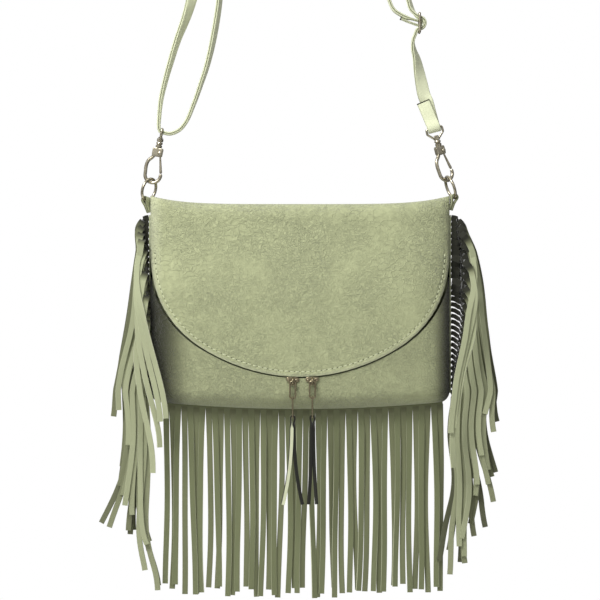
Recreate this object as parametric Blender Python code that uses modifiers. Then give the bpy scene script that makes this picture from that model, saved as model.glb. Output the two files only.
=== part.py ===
"""Fringed suede shoulder bag, hanging from the crown of its strap.

A back panel folds over the top and comes down the front as the upper front panel. A curved zip joins
it to the lower front panel. Fringes are sewn into the side and bottom seams. Two snap hooks join
rings at the top corners to one long strap that runs down through the left hook's eye and back up.

The world origin is the underside of the strap's crown, and the bag's own frame has z = 0 on the top
fold. The front faces -Y. Sizes are in metres.
"""

import math
import random

import bmesh
import bpy
import numpy as np
from mathutils import Matrix, Vector

# Clearances
GAP = 0.0003

# Pouch
HALF_WIDTH = 0.1196
HEIGHT = 0.1640
BAG_DROP = 0.3536
CORNER_RISE = 0.0066
BOTTOM_SAG = 0.0055
CORNER_RADIUS = 0.0090
PANEL = 0.0015
FRONT_DEPTH = 0.0190
FRONT_TOP_DEPTH = 0.0120
BACK_DEPTH = 0.0130
BACK_TOP_DEPTH = 0.0100
FOLD_REACH = 0.0120
BASE_REACH = 0.0140
LEAN_END = 0.0800
SIDE_EXPONENT = 8.0

# Flap edge and zip
FLAP_LIFT = 0.0010
NOTCH_DROP = 0.0370
FLAP_DROP = 0.1378
FLAP_RADIUS = 0.1540
FLAP_ARC_DEG = 29.0
CORNER_HANDLES = (0.0280, 0.0420)
SLIT = 0.0024
TAPE = 0.0006
TAPE_WIDTH = 0.0075
ARC_POINTS = 6
CORNER_POINTS = 6
TAPE_STOP = 4
TAPE_SEAT = 0.0005
COIL_WIDTH = 0.0034
COIL_HEIGHT = 0.0013

# Zip sliders and pulls
SLIDER_LENGTH = 0.0104
SLIDER_HEIGHT = 0.0069
SLIDER_PLATE = 0.0012
SLIDER_ANGLES_DEG = {"left": -2.3, "right": 3.9}
RUN_RADIUS = 0.1424
KEEL = (0.0060, 0.0012)
BAIL_HALF = 0.0026
BAIL_REACH = 0.0032
BAIL_RADIUS = 0.00065
PULL_OFFSET = 0.0017
PULL_RING_HALF = 0.0022
PULL_RING_LENGTH = 0.0138
PULL_RING_WIRE = 0.0006
LINK_HALF = 0.0022
LINK_LENGTH = 0.0165
LINK_WIRE = 0.00055
LINK_CORNER = 0.0006
TAB_WIDTH = 0.0030
TAB_THICKNESS = 0.0014
TAB_LENGTH = 0.0690
TAB_STRAIGHT = 0.0055
TAB_SPREAD = {"left": (0.0080, 0.0078), "right": (0.0030, 0.0034)}

# Rings, snap hooks and eyes
RING_RADIUS = 0.00885
RING_WIRE = 0.00115
RING_TURN_DEG = {"left": 33.0, "right": -16.0}
RING_LEAN_DEG = {"left": 17.0, "right": -20.0}
RING_OUT = 0.0038
RING_FOOT = {"left": (-HALF_WIDTH - RING_OUT, 0.0030), "right": (HALF_WIDTH + RING_OUT, 0.0050)}
RING_TAB = 0.0013
RING_TAB_WIDTH = 0.0056
RING_TAB_TAIL_WIDTH = 0.0024
RING_TAB_DROP = 0.0100
HOOK_LEAN_DEG = {"left": 12.0, "right": -15.0}
HOOK_TURN_DEG = {"left": -8.0, "right": 35.0}
HOOK_LENGTH = 0.0345
HOOK_HALF = 0.0063
HOOK_WIRE = 0.0014
HOOK_BODY = (0.0082, 0.0042, 0.0072)
COLLAR_RADIUS = 0.0026
COLLAR_LENGTH = 0.0050
POST_RADIUS = 0.00105
POST_HEAD_RADIUS = 0.0020
POST_HEAD = 0.0010
EYE_HEIGHT = 0.0090
EYE_WIRE = 0.0009
EYE_BOSS_RADIUS = 0.0026
EYE_BOSS = (-0.0012, 0.0014)
EYE_TURN_DEG = {"left": 90.0, "right": 0.0}
GATE_PIVOT = (0.0022, -0.0103)
GATE_TIP = (0.0061, -0.0260)
GATE_EYE_RADIUS = 0.0017
GATE_EYE = 0.0014
RIVET_RADIUS = 0.00075
RIVET_HEAD_RADIUS = 0.0016
RIVET_HEAD = 0.0006

# Strap and buckle
STRAP_WIDTH = 0.0105
STRAP = 0.0028
STRAP_SKIVED = 0.0014
CROWN_RADIUS = 0.0500
CROWN_STEP_DEG = 9.0
SEWN_END = 0.0220
SEWN_SKEW = 0.0030
STRAP_TWIST_DEG = {"left_down": (50.0, 20.0), "left_up": (14.0, 16.0), "right_up": (14.0, 14.0)}
TWIST_SPAN = (-0.0900, -0.1800, -0.2200, -0.2900)
BUCKLE_PLACE = (0.0956, -0.2088)
BUCKLE_WIRE = 0.0010
BUCKLE_PITCH = 0.0074
BUCKLE_CORNER = 0.0008
TO_BUCKLE = [(0.0932, -0.2370), (0.0908, -0.2290), (0.0905, -0.2225)]
TO_CROWN = [(0.0900, -0.1990), (0.0870, -0.1905), (0.0815, -0.1700), (0.0750, -0.1450),
            (0.0680, -0.1180), (0.0618, -0.0900), (0.0572, -0.0630)]
TO_HOOK = [(-0.0575, -0.0640), (-0.0630, -0.0910), (-0.0692, -0.1200), (-0.0762, -0.1500),
           (-0.0838, -0.1790), (-0.0906, -0.2030), (-0.0982, -0.2230)]
FROM_HOOK = [(-0.0750, -0.2450), (-0.0712, -0.2304), (-0.0680, -0.2144), (-0.0654, -0.1984),
             (-0.0630, -0.1750), (-0.0606, -0.1480), (-0.0580, -0.1180), (-0.0556, -0.0880),
             (-0.0532, -0.0640)]
FROM_CROWN = [(0.0532, -0.0640), (0.0552, -0.0900), (0.0578, -0.1180), (0.0612, -0.1450),
              (0.0655, -0.1700), (0.0710, -0.1900), (0.0752, -0.1985)]
RIGHT_EYE_OFF = [(-0.0073, 0.0247), (-0.0097, 0.0347), (-0.0119, 0.0457)]
LEFT_EYE_ON = [(0.0066, 0.0540), (0.0021, 0.0380), (-0.0011, 0.0240), (-0.0025, 0.0110)]
LEFT_EYE_OFF = [(0.0053, -0.0036), (0.0096, -0.0026), (0.0141, 0.0), (0.0179, 0.0044),
                (0.0211, 0.0102), (0.0236, 0.0165), (0.0265, 0.0240), (0.0305, 0.0355)]
TAIL_OVER = [(0.0150, 0.0066), (0.0105, 0.0044), (0.0055, 0.0030)]
TAIL_UNDER = [(0.0055, -0.0004), (0.0105, 0.0015), (0.0150, 0.0034)]

# Fringes
STRAND = 0.0012
STRAND_WIDTH = 0.0042
STRAND_GAP = 0.0004
BAND_INSIDE = 0.0040
BAND_OUTSIDE = 0.0012
SIDE_STRANDS = 31
SIDE_FIRST = 0.0110
SIDE_LENGTH = 0.1560
SIDE_LAYERS = {"left": 7, "right": 5}
SIDE_LAYER_STEP = 0.0018
SIDE_FIRST_LAYER = 0.0026
SIDE_COLUMN = 0.0047
SIDE_SPREAD = (1.8, 0.1600, 0.2700)
SIDE_TURN = 0.0100
SIDE_CUT = (-0.0220, 0.0060)
SIDE_FLICK = 0.0030
BUNDLE = {
    "left": [(0.011, 0.0060), (0.035, 0.0092), (0.060, 0.0080), (0.085, 0.0050), (0.110, 0.0028),
             (0.162, 0.0014), (0.185, 0.0000), (0.215, 0.0005), (0.255, 0.0025), (0.275, 0.0000),
             (0.300, -0.0090)],
    "right": [(0.011, 0.0070), (0.033, 0.0106), (0.070, 0.0106), (0.100, 0.0074), (0.130, 0.0038),
              (0.162, 0.0014), (0.180, -0.0010), (0.225, 0.0030), (0.255, -0.0010), (0.300, 0.0010)],
}
SIDE_SEGMENTS = 5
BOTTOM_STRANDS = 46
BOTTOM_PITCH = 0.00487
BOTTOM_SHIFT = 0.0024
BOTTOM_LENGTH = 0.1480
BOTTOM_LAYER = 0.0009
BOTTOM_CUT = (-0.0060, 0.0030)
BOTTOM_DRIFT = 0.0022
BOTTOM_BOW = 0.0016
BOTTOM_SEGMENTS = 4

SEAM = STRAND / 2 + GAP
SIDES = {"left": -1, "right": 1}

parts = None
cutters = None


def clear_scene():
    for obj in list(bpy.data.objects):
        bpy.data.objects.remove(obj, do_unlink=True)


def make_collections():
    global parts, cutters
    parts = bpy.data.collections.new("fringed_bag")
    cutters = bpy.data.collections.new("cutters")
    for collection in (parts, cutters):
        bpy.context.scene.collection.children.link(collection)


def material(name, colour, roughness, metallic=0.0):
    found = bpy.data.materials.get(name)
    if found:
        return found
    made = bpy.data.materials.new(name)
    made.use_nodes = True
    shader = made.node_tree.nodes["Principled BSDF"]
    shader.inputs["Base Color"].default_value = (*colour, 1.0)
    shader.inputs["Roughness"].default_value = roughness
    shader.inputs["Metallic"].default_value = metallic
    return made


def suede():
    return material("suede", (0.36, 0.39, 0.22), 0.9)


def fringe_suede():
    return material("fringe_suede", (0.28, 0.31, 0.17), 0.9)


def tape_cloth():
    return material("zip_tape", (0.16, 0.17, 0.10), 0.85)


def brass():
    return material("antique_brass", (0.48, 0.38, 0.20), 0.35, 1.0)


def add_object(name, mesh, look, parent=None, collection=None):
    obj = bpy.data.objects.new(name, mesh)
    (collection or parts).objects.link(obj)
    mesh.materials.clear()
    mesh.materials.append(look)
    obj.parent = parent
    return obj


def add_empty(name, place, turn=None, parent=None):
    empty = bpy.data.objects.new(name, None)
    parts.objects.link(empty)
    empty.empty_display_size = 0.01
    empty.parent = parent
    empty.location = place
    if turn is not None:
        empty.rotation_euler = turn
    return empty


def mesh_of(name, points, faces):
    """A mesh with its faces turned outwards."""
    mesh = bpy.data.meshes.new(name)
    mesh.from_pydata([tuple(point) for point in points], [], faces)
    work = bmesh.new()
    work.from_mesh(mesh)
    bmesh.ops.remove_doubles(work, verts=work.verts, dist=1e-6)
    bmesh.ops.recalc_face_normals(work, faces=work.faces)
    work.to_mesh(mesh)
    work.free()
    return mesh


def loft(name, rings):
    """A closed body through rings of equally many points, capped at both ends."""
    count = len(rings[0])
    points = [point for ring in rings for point in ring]
    faces = []
    for row in range(len(rings) - 1):
        for col in range(count):
            after = (col + 1) % count
            faces.append(
                (
                    row * count + col,
                    row * count + after,
                    (row + 1) * count + after,
                    (row + 1) * count + col,
                )
            )
    faces.append(tuple(range(count)))
    faces.append(tuple((len(rings) - 1) * count + col for col in range(count)))
    return mesh_of(name, points, faces)


def thick_sheet(name, outer, inner):
    """A closed sheet between two grids of points, as arrays of rows by columns by 3."""
    rows, cols, _ = outer.shape
    points = list(outer.reshape(-1, 3)) + list(inner.reshape(-1, 3))
    shift = rows * cols
    faces = []
    for row in range(rows - 1):
        for col in range(cols - 1):
            corner = row * cols + col
            quad = (corner, corner + 1, corner + cols + 1, corner + cols)
            faces.append(quad)
            faces.append(tuple(shift + index for index in reversed(quad)))
    rim = [col for col in range(cols)]
    rim += [row * cols + cols - 1 for row in range(1, rows)]
    rim += [(rows - 1) * cols + col for col in range(cols - 2, -1, -1)]
    rim += [row * cols for row in range(rows - 2, 0, -1)]
    for here, after in zip(rim, rim[1:] + rim[:1]):
        faces.append((here, after, shift + after, shift + here))
    return mesh_of(name, points, faces)


def ribbon_rings(points, across, widths, thicknesses):
    """Four corners at each point of a flat strip, whose width lies along the direction across."""
    points = np.asarray(points, float)
    tangents = np.gradient(points, axis=0)
    rings = []
    for point, tangent, side, width, thick in zip(
        points, tangents, across, widths, thicknesses
    ):
        along = tangent / np.linalg.norm(tangent)
        side = np.asarray(side, float)
        side = side - along * side.dot(along)
        side /= np.linalg.norm(side)
        normal = np.cross(along, side)
        half, deep = side * width / 2, normal * thick / 2
        rings.append(
            [point + half + deep, point - half + deep, point - half - deep, point + half - deep]
        )
    return rings


def wire(name, points, radius, look, cyclic=False, parent=None, collection=None):
    """A round wire along straight runs between points, as a mesh."""
    curve = bpy.data.curves.new(name, "CURVE")
    curve.dimensions = "3D"
    curve.bevel_depth = radius
    curve.bevel_resolution = 2
    curve.use_fill_caps = not cyclic
    spline = curve.splines.new("POLY")
    spline.points.add(len(points) - 1)
    for target, point in zip(spline.points, points):
        target.co = (*point, 1.0)
    spline.use_cyclic_u = cyclic
    guide = bpy.data.objects.new(name + "_guide", curve)
    cutters.objects.link(guide)
    bpy.context.view_layer.update()
    graph = bpy.context.evaluated_depsgraph_get()
    mesh = bpy.data.meshes.new_from_object(guide.evaluated_get(graph))
    bpy.data.objects.remove(guide)
    work = bmesh.new()
    work.from_mesh(mesh)
    bmesh.ops.remove_doubles(work, verts=work.verts, dist=1e-6)
    bmesh.ops.recalc_face_normals(work, faces=work.faces)
    work.to_mesh(mesh)
    work.free()
    mesh.name = name
    return add_object(name, mesh, look, parent, collection)


def turned(name, profile, look, steps=12, parent=None, collection=None):
    """A body turned about Z from a profile of (radius, height), top to bottom."""
    mesh = bpy.data.meshes.new(name)
    points = [(radius, 0.0, height) for radius, height in profile]
    edges = [(index, index + 1) for index in range(len(points) - 1)]
    mesh.from_pydata(points, edges, [])
    obj = add_object(name, mesh, look, parent, collection)
    screw = obj.modifiers.new("turn", "SCREW")
    screw.steps = steps
    screw.render_steps = steps
    screw.use_merge_vertices = True
    screw.merge_threshold = 0.00001
    return obj


def block(name, size, place, look, bevel=0.0, parent=None, collection=None):
    """A box of this size round a place, with bevelled edges if asked."""
    work = bmesh.new()
    bmesh.ops.create_cube(work, size=1.0)
    bmesh.ops.scale(work, vec=size, verts=work.verts)
    bmesh.ops.translate(work, vec=place, verts=work.verts)
    mesh = bpy.data.meshes.new(name)
    work.to_mesh(mesh)
    work.free()
    obj = add_object(name, mesh, look, parent, collection)
    if bevel:
        round_off = obj.modifiers.new("round", "BEVEL")
        round_off.width = bevel
        round_off.segments = 2
    return obj


def cylinder(name, radius, start, end, look, steps=12, end_radius=None, parent=None, collection=None):
    """A round bar or cone between two points."""
    start, end = Vector(start), Vector(end)
    run = end - start
    work = bmesh.new()
    bmesh.ops.create_cone(
        work,
        cap_ends=True,
        segments=steps,
        radius1=radius,
        radius2=radius if end_radius is None else end_radius,
        depth=run.length,
    )
    turn = run.to_track_quat("Z", "Y").to_matrix().to_4x4()
    bmesh.ops.transform(work, matrix=Matrix.Translation((start + end) / 2) @ turn, verts=work.verts)
    mesh = bpy.data.meshes.new(name)
    work.to_mesh(mesh)
    work.free()
    return add_object(name, mesh, look, parent, collection)


def combine(obj, other, operation):
    """A Boolean of obj with a helper, which is kept out of the render."""
    if other.name not in cutters.objects:
        for collection in list(other.users_collection):
            collection.objects.unlink(other)
        cutters.objects.link(other)
    other.hide_render = True
    other.display_type = "WIRE"
    step = obj.modifiers.new(operation.lower(), "BOOLEAN")
    step.operation = operation
    step.object = other
    return obj


def arc_points(centre, radius, start_deg, end_deg, count):
    """Points of an arc in the plane of (first, second) coordinates, ends included."""
    angles = np.radians(np.linspace(start_deg, end_deg, count))
    return [
        (centre[0] + radius * math.cos(angle), centre[1] + radius * math.sin(angle))
        for angle in angles
    ]


def smoothstep(value):
    value = np.clip(value, 0.0, 1.0)
    return value * value * (3 - 2 * value)


def quarter(value):
    """A quarter circle's rise: 0 at 0, upright there, and 1 and level at 1 and beyond."""
    return np.sqrt(1 - (1 - np.clip(value, 0.0, 1.0)) ** 2)


class Pouch:
    """The pouch's surface, shrunk all round by an inset for the panels' inner faces."""

    def __init__(self, inset=0.0, lift=0.0):
        self.inset = inset
        self.lift = lift

    def depth(self, drop, front):
        """The depths at the side seam and at mid-width, drop below the top fold."""
        deep, top = (FRONT_DEPTH, FRONT_TOP_DEPTH) if front else (BACK_DEPTH, BACK_TOP_DEPTH)
        grown = top + (deep - top) * smoothstep((drop - FOLD_REACH) / (LEAN_END - FOLD_REACH))
        grown = grown - self.inset
        if front:
            grown = grown + self.lift * smoothstep(drop / NOTCH_DROP)
        fold = grown * quarter((drop - self.inset) / (FOLD_REACH - self.inset))
        base = quarter((HEIGHT - self.inset - drop) / (BASE_REACH - self.inset))
        rim = min(SEAM, fold)
        return rim, max(rim, fold * base)

    def half_width(self, drop):
        """Half the width, drop below the top fold, with round bottom corners."""
        corner = CORNER_RADIUS - self.inset
        into = np.clip((drop - (HEIGHT - CORNER_RADIUS)) / corner, 0.0, 1.0)
        return HALF_WIDTH - self.inset - corner * (1 - np.sqrt(1 - 0.94 * into**2))

    def point(self, x, drop, front):
        """The surface point at this x, and this drop at mid-width."""
        share = np.clip(abs(x) / self.half_width(drop), 0.0, 1.0)
        rim, centre = self.depth(drop, front)
        y = rim + (centre - rim) * math.sqrt(max(0.0, 1 - share**SIDE_EXPONENT))
        rise = CORNER_RISE * share**5 * (1 - smoothstep(drop / NOTCH_DROP))
        sag = BOTTOM_SAG * share**2 * smoothstep((drop - NOTCH_DROP) / (HEIGHT - NOTCH_DROP))
        return (x, -y if front else y, -drop + rise + sag)


def flap_outline(offset=0.0):
    """Half of the flap's free edge as (x, drop), from mid-width to the notch at the side.

    The middle is an arc, and a Bezier curve takes the corner up to the side. A positive offset
    lies that far outside the edge.
    """
    centre = FLAP_DROP - FLAP_RADIUS
    points = []
    for angle in np.radians(np.linspace(0.0, FLAP_ARC_DEG, ARC_POINTS)):
        reach = FLAP_RADIUS + offset
        points.append((reach * math.sin(angle), centre + reach * math.cos(angle)))
    turn = math.radians(FLAP_ARC_DEG)
    start = np.array([FLAP_RADIUS * math.sin(turn), centre + FLAP_RADIUS * math.cos(turn)])
    end = np.array([HALF_WIDTH, NOTCH_DROP])
    near = start + CORNER_HANDLES[0] * np.array([math.cos(turn), -math.sin(turn)])
    far = end + CORNER_HANDLES[1] * np.array([0.0, 1.0])
    for step in np.linspace(0.0, 1.0, CORNER_POINTS + 1)[1:]:
        rest = 1 - step
        place = rest**3 * start + 3 * rest**2 * step * near + 3 * rest * step**2 * far + step**3 * end
        slope = (
            3 * rest**2 * (near - start) + 6 * rest * step * (far - near) + 3 * step**2 * (end - far)
        )
        outwards = np.array([-slope[1], slope[0]]) / np.linalg.norm(slope)
        points.append(tuple(place + offset * outwards))
    return points


def mirrored(points):
    """Both halves of an outline, from left to right."""
    return [(-x, drop) for x, drop in reversed(points[1:])] + list(points)


def side_shares(count):
    """Shares of the half width from left to right, closer together towards the sides."""
    return np.sin(np.linspace(-0.5 * math.pi, 0.5 * math.pi, count))


def make_back_flap_panel(bag):
    """One sheet: up the back, over the top fold, down the front to the free curved edge."""
    edge = mirrored(flap_outline())
    for end in (0, -1):
        edge[end] = (edge[end][0], edge[end][1] + GAP)
    shares = side_shares(len(edge))
    bend = np.linspace(0, 0.5 * math.pi, 4)
    layers = []
    for inset in (0.0, PANEL):
        surface = Pouch(inset, FLAP_LIFT)
        base, fold = BASE_REACH - inset, FOLD_REACH - inset
        back = list(HEIGHT - inset - base * (1 - np.cos(bend)))
        back += list(np.linspace(HEIGHT - BASE_REACH, FOLD_REACH * 1.3, 4)[1:])
        back += list(inset + fold * (1 - np.sin(bend)))
        front = list(inset + fold * (1 - np.cos(bend[1:]))) + [NOTCH_DROP * 0.65, NOTCH_DROP]
        rows = []
        for drops, faces_front in ((back, False), (front, True)):
            for drop in drops:
                reach = surface.half_width(drop)
                rows.append([surface.point(share * reach, drop, faces_front) for share in shares])
        for step in np.linspace(0.0, 1.0, 5)[1:]:
            row = []
            for share, (edge_x, edge_drop) in zip(shares, edge):
                top_x = share * surface.half_width(NOTCH_DROP)
                x = top_x + (edge_x * (1 - inset / HALF_WIDTH) - top_x) * step
                drop = NOTCH_DROP + (edge_drop - NOTCH_DROP) * step
                row.append(surface.point(x, drop, True))
            rows.append(row)
        layers.append(np.array(rows))
    mesh = thick_sheet("back_flap_panel", layers[0], layers[1])
    add_object("back_flap_panel", mesh, suede(), bag)


def make_front_panel(bag):
    """The lower front sheet, from the bottom seam up to the zip's lower side."""
    edge = mirrored(flap_outline(SLIT))
    shares = side_shares(len(edge))
    layers = []
    for inset in (0.0, PANEL):
        surface = Pouch(inset)
        rows = []
        low = HEIGHT - inset
        for step in np.linspace(0.0, 1.0, 7):
            row = []
            ease = 1 - math.cos(step * 0.5 * math.pi)
            for share, (edge_x, edge_drop) in zip(shares, edge):
                drop = low + (edge_drop - low) * ease
                reach = surface.half_width(drop)
                top_x = np.clip(edge_x, -reach, reach)
                x = share * reach + (top_x - share * reach) * step
                row.append(surface.point(x, drop, True))
            rows.append(row)
        layers.append(np.array(rows))
    mesh = thick_sheet("front_panel", layers[0], layers[1])
    add_object("front_panel", mesh, suede(), bag)


def band_along(name, near, far, levels, look, bag):
    """A flat band that follows the zip, between two offsets from the flap's edge.

    levels gives, for each of the band's faces, how far it lies under the lower front panel's face.
    """
    inside = mirrored(flap_outline(near)[:-TAPE_STOP])
    outside = mirrored(flap_outline(far)[:-TAPE_STOP])
    layers = []
    for level in levels:
        surface = Pouch(level)
        rows = [[surface.point(x, drop, True) for x, drop in line] for line in (inside, outside)]
        layers.append(np.array(rows))
    add_object(name, thick_sheet(name, layers[0], layers[1]), look, bag)


def make_zip(bag):
    """Two tapes behind the panels' edges, and the closed coil behind the slit."""
    upper = PANEL - FLAP_LIFT + TAPE_SEAT
    lower = PANEL + TAPE_SEAT
    middle = SLIT / 2
    band_along(
        "zip_tape_upper", -TAPE_WIDTH, middle - GAP / 2, (upper, upper + TAPE), tape_cloth(), bag
    )
    band_along(
        "zip_tape_lower", middle + GAP / 2, TAPE_WIDTH, (lower, lower + TAPE), tape_cloth(), bag
    )
    coil = lower + TAPE + TAPE_SEAT
    band_along(
        "zip_coil",
        middle - COIL_WIDTH / 2,
        middle + COIL_WIDTH / 2,
        (coil, coil + COIL_HEIGHT),
        material("zip_coil", (0.10, 0.10, 0.07), 0.6),
        bag,
    )


def oblong(half, length, corner, count=3):
    """A closed outline of straight sides and round corners, hanging from its top at (0, 0)."""
    points = []
    for quarter_turn, (side, level) in enumerate(
        ((1, -corner), (-1, -corner), (-1, corner - length), (1, corner - length))
    ):
        start = 90.0 * quarter_turn
        centre = (side * (half - corner), level)
        points += arc_points(centre, corner, start, start + 90.0, count)
    return points


def make_zip_end(side, bag):
    """One slider with its ring, long link and leather tab, on the arc of the zip.

    The slit sags towards the middle of the bag, so its middle line follows a tighter circle than the
    flap's own edge, and the sliders turn about the middle of that circle.
    """
    angle = math.radians(SLIDER_ANGLES_DEG[side])
    reach = RUN_RADIUS - SLIT / 2 + GAP + SLIDER_HEIGHT / 2
    centre = RUN_RADIUS - FLAP_DROP - SLIT / 2
    front = -FRONT_DEPTH - GAP - SLIDER_PLATE
    place = (reach * math.sin(angle), front, centre - reach * math.cos(angle))
    axis = add_empty(f"slider_{side}_axis", (0.0, front, centre), (0.0, -angle, 0.0), bag)
    carrier = add_empty(f"slider_{side}_place", (0.0, 0.0, -reach), None, axis)
    slider = block(
        f"slider_{side}",
        (SLIDER_LENGTH, SLIDER_PLATE, SLIDER_HEIGHT),
        (0.0, SLIDER_PLATE / 2, 0.0),
        brass(),
        bevel=0.0004,
        parent=carrier,
    )
    keel_depth = PANEL - FLAP_LIFT
    keel = block(
        f"slider_{side}_keel",
        (KEEL[0], keel_depth + GAP + SLIDER_PLATE / 2, KEEL[1]),
        (
            0.0,
            SLIDER_PLATE / 2 + (keel_depth + GAP + SLIDER_PLATE / 2) / 2,
            SLIDER_HEIGHT / 2 + GAP - SLIT / 2,
        ),
        brass(),
        parent=carrier,
    )
    combine(slider, keel, "UNION")
    arch = [(0.0, SLIDER_PLATE / 3, BAIL_HALF)]
    for step in np.linspace(0.0, math.pi, 6):
        arch.append((0.0, -BAIL_REACH * math.sin(step), BAIL_HALF * math.cos(step)))
    arch.append((0.0, SLIDER_PLATE / 3, -BAIL_HALF))
    bail = wire(f"slider_{side}_bail", arch, BAIL_RADIUS, brass(), parent=carrier)
    combine(slider, bail, "UNION")

    pivot = add_empty(
        f"pull_ring_{side}_axis", (place[0], place[1] - PULL_OFFSET, place[2]), None, bag
    )
    outline = oblong(PULL_RING_HALF, PULL_RING_LENGTH, PULL_RING_HALF * 0.96)
    ring = [(x, 0.0, z) for x, z in outline]
    wire(f"pull_ring_{side}", ring, PULL_RING_WIRE, brass(), cyclic=True, parent=pivot)
    hang = -PULL_RING_LENGTH + PULL_RING_WIRE + LINK_WIRE + GAP
    link_axis = add_empty(f"pull_link_{side}_axis", (0.0, 0.0, -PULL_RING_LENGTH), None, pivot)
    top = hang + PULL_RING_LENGTH
    link = [(0.0, y, z + top) for y, z in oblong(LINK_HALF, LINK_LENGTH, LINK_CORNER)]
    wire(f"pull_link_{side}", link, LINK_WIRE, brass(), cyclic=True, parent=link_axis)
    make_pull_tab(side, link_axis, top - LINK_LENGTH)


def make_pull_tab(side, carrier, height):
    """A leather strip folded through the link, with its two tails hanging down."""
    axis = add_empty(f"pull_tab_{side}_axis", (0.0, 0.0, height), None, carrier)
    loop = LINK_WIRE + GAP + TAB_THICKNESS / 2
    rest = (TAB_THICKNESS + GAP) / 2
    low = -TAB_STRAIGHT
    left_end, right_end = TAB_SPREAD[side]

    def tail(sign, spread):
        points = []
        for share in np.linspace(0.0, 1.0, 7):
            x = rest + (spread - rest) * share**2.2
            points.append((sign * x, 0.0, low - (TAB_LENGTH + low) * share))
        return points

    over = [(x, 0.0, z) for x, z in arc_points((0.0, 0.0), loop, 180.0, 0.0, 7)]
    points = tail(-1, left_end)[::-1] + over + tail(1, right_end)
    count = len(points)
    rings = ribbon_rings(
        points, [(0.0, 1.0, 0.0)] * count, [TAB_WIDTH] * count, [TAB_THICKNESS] * count
    )
    add_object(f"pull_tab_{side}", loft(f"pull_tab_{side}", rings), suede(), axis)


def lean_direction(degrees):
    """The upward direction of something that leans by this angle towards +X."""
    turn = math.radians(degrees)
    return Vector((math.sin(turn), 0.0, math.cos(turn)))


def hook_foot(side):
    """Centre of the hook's lowest wire, in the bag's frame."""
    foot = Vector((RING_FOOT[side][0], 0.0, RING_FOOT[side][1]))
    up = lean_direction(RING_LEAN_DEG[side])
    return foot + up * (2 * RING_RADIUS - RING_WIRE - HOOK_WIRE - GAP)


def eye_base(side):
    """The swivel's plane on the hook's axis, in the bag's frame."""
    return hook_foot(side) + lean_direction(HOOK_LEAN_DEG[side]) * HOOK_LENGTH


def eye_bar(side):
    """Centre of the eye's top bar, in world space."""
    bar = eye_base(side) + lean_direction(HOOK_LEAN_DEG[side]) * EYE_HEIGHT
    return Vector((bar.x, bar.y, bar.z - BAG_DROP))


def make_ring(side, bag):
    foot = RING_FOOT[side]
    lean = math.radians(RING_LEAN_DEG[side])
    turn = math.radians(RING_TURN_DEG[side])
    axis = add_empty(f"ring_{side}_axis", (foot[0], 0.0, foot[1]), (0.0, lean, 0.0), bag)
    bpy.ops.mesh.primitive_torus_add(
        major_radius=RING_RADIUS,
        minor_radius=RING_WIRE,
        major_segments=22,
        minor_segments=8,
    )
    ring = bpy.context.object
    for collection in list(ring.users_collection):
        collection.objects.unlink(ring)
    parts.objects.link(ring)
    ring.name = f"ring_{side}"
    ring.data.materials.append(brass())
    ring.data.transform(Matrix.Rotation(math.radians(90), 4, "Y"))
    ring.data.transform(Matrix.Rotation(-turn, 4, "Z"))
    ring.location = (0.0, 0.0, RING_RADIUS)
    ring.parent = axis


def make_ring_tab(side, bag):
    """A leather loop round the ring's foot, with both ends sewn at the side seam."""
    sign = SIDES[side]
    foot = RING_FOOT[side]
    turn = math.radians(RING_TURN_DEG[side])
    lean = math.radians(RING_LEAN_DEG[side])
    curve = RING_TAB_WIDTH**2 / (8 * RING_RADIUS)
    loop = RING_WIRE + GAP + curve / 2 + RING_TAB / 2
    rest = (RING_TAB + GAP) / 2
    skew = RING_TAB_TAIL_WIDTH / 2 * abs(math.sin(turn))
    seam_x = sign * (HALF_WIDTH + GAP + rest + RING_TAB / 2 + skew)
    end = np.array([seam_x, 0.0, foot[1] - RING_TAB_DROP])
    up = np.array(lean_direction(RING_LEAN_DEG[side]))
    top = np.array([foot[0], 0.0, foot[1]]) + up * curve / 2
    level = np.array([
        math.sin(turn) * math.cos(lean),
        math.cos(turn),
        -math.sin(turn) * math.sin(lean),
    ])
    down = (end - top) / np.linalg.norm(end - top)
    down -= level * level.dot(down)
    down /= np.linalg.norm(down)
    away = np.cross(down, level)
    leg = [end + away * rest, end * 0.45 + top * 0.55 + away * rest * 1.25]
    over = []
    for angle in np.radians(np.linspace(-20.0, 200.0, 9)):
        over.append(top + away * loop * math.cos(angle) - down * loop * math.sin(angle))
    other = [end * 0.45 + top * 0.55 - away * rest * 1.25, end - away * rest]
    points = leg + over + other
    count = len(points)
    across = [tuple(level)] * count
    widths = [RING_TAB_WIDTH] * count
    widths[0] = widths[-1] = RING_TAB_TAIL_WIDTH
    rings = ribbon_rings(points, across, widths, [RING_TAB] * count)
    add_object(f"ring_tab_{side}", loft(f"ring_tab_{side}", rings), suede(), bag)


def make_hook(side, bag):
    """Eye, hook body, spring gate and its rivet, hung on the hook's leaning axis."""
    place = eye_base(side)
    lean = math.radians(HOOK_LEAN_DEG[side])
    stand = add_empty(f"hook_{side}_stand", place, (0.0, lean, 0.0), bag)
    make_eye(side, stand)
    axis = add_empty(
        f"hook_{side}_axis", (0.0, 0.0, 0.0), (0.0, 0.0, math.radians(HOOK_TURN_DEG[side])), stand
    )
    make_hook_body(side, axis)
    make_gate(side, axis)


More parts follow.
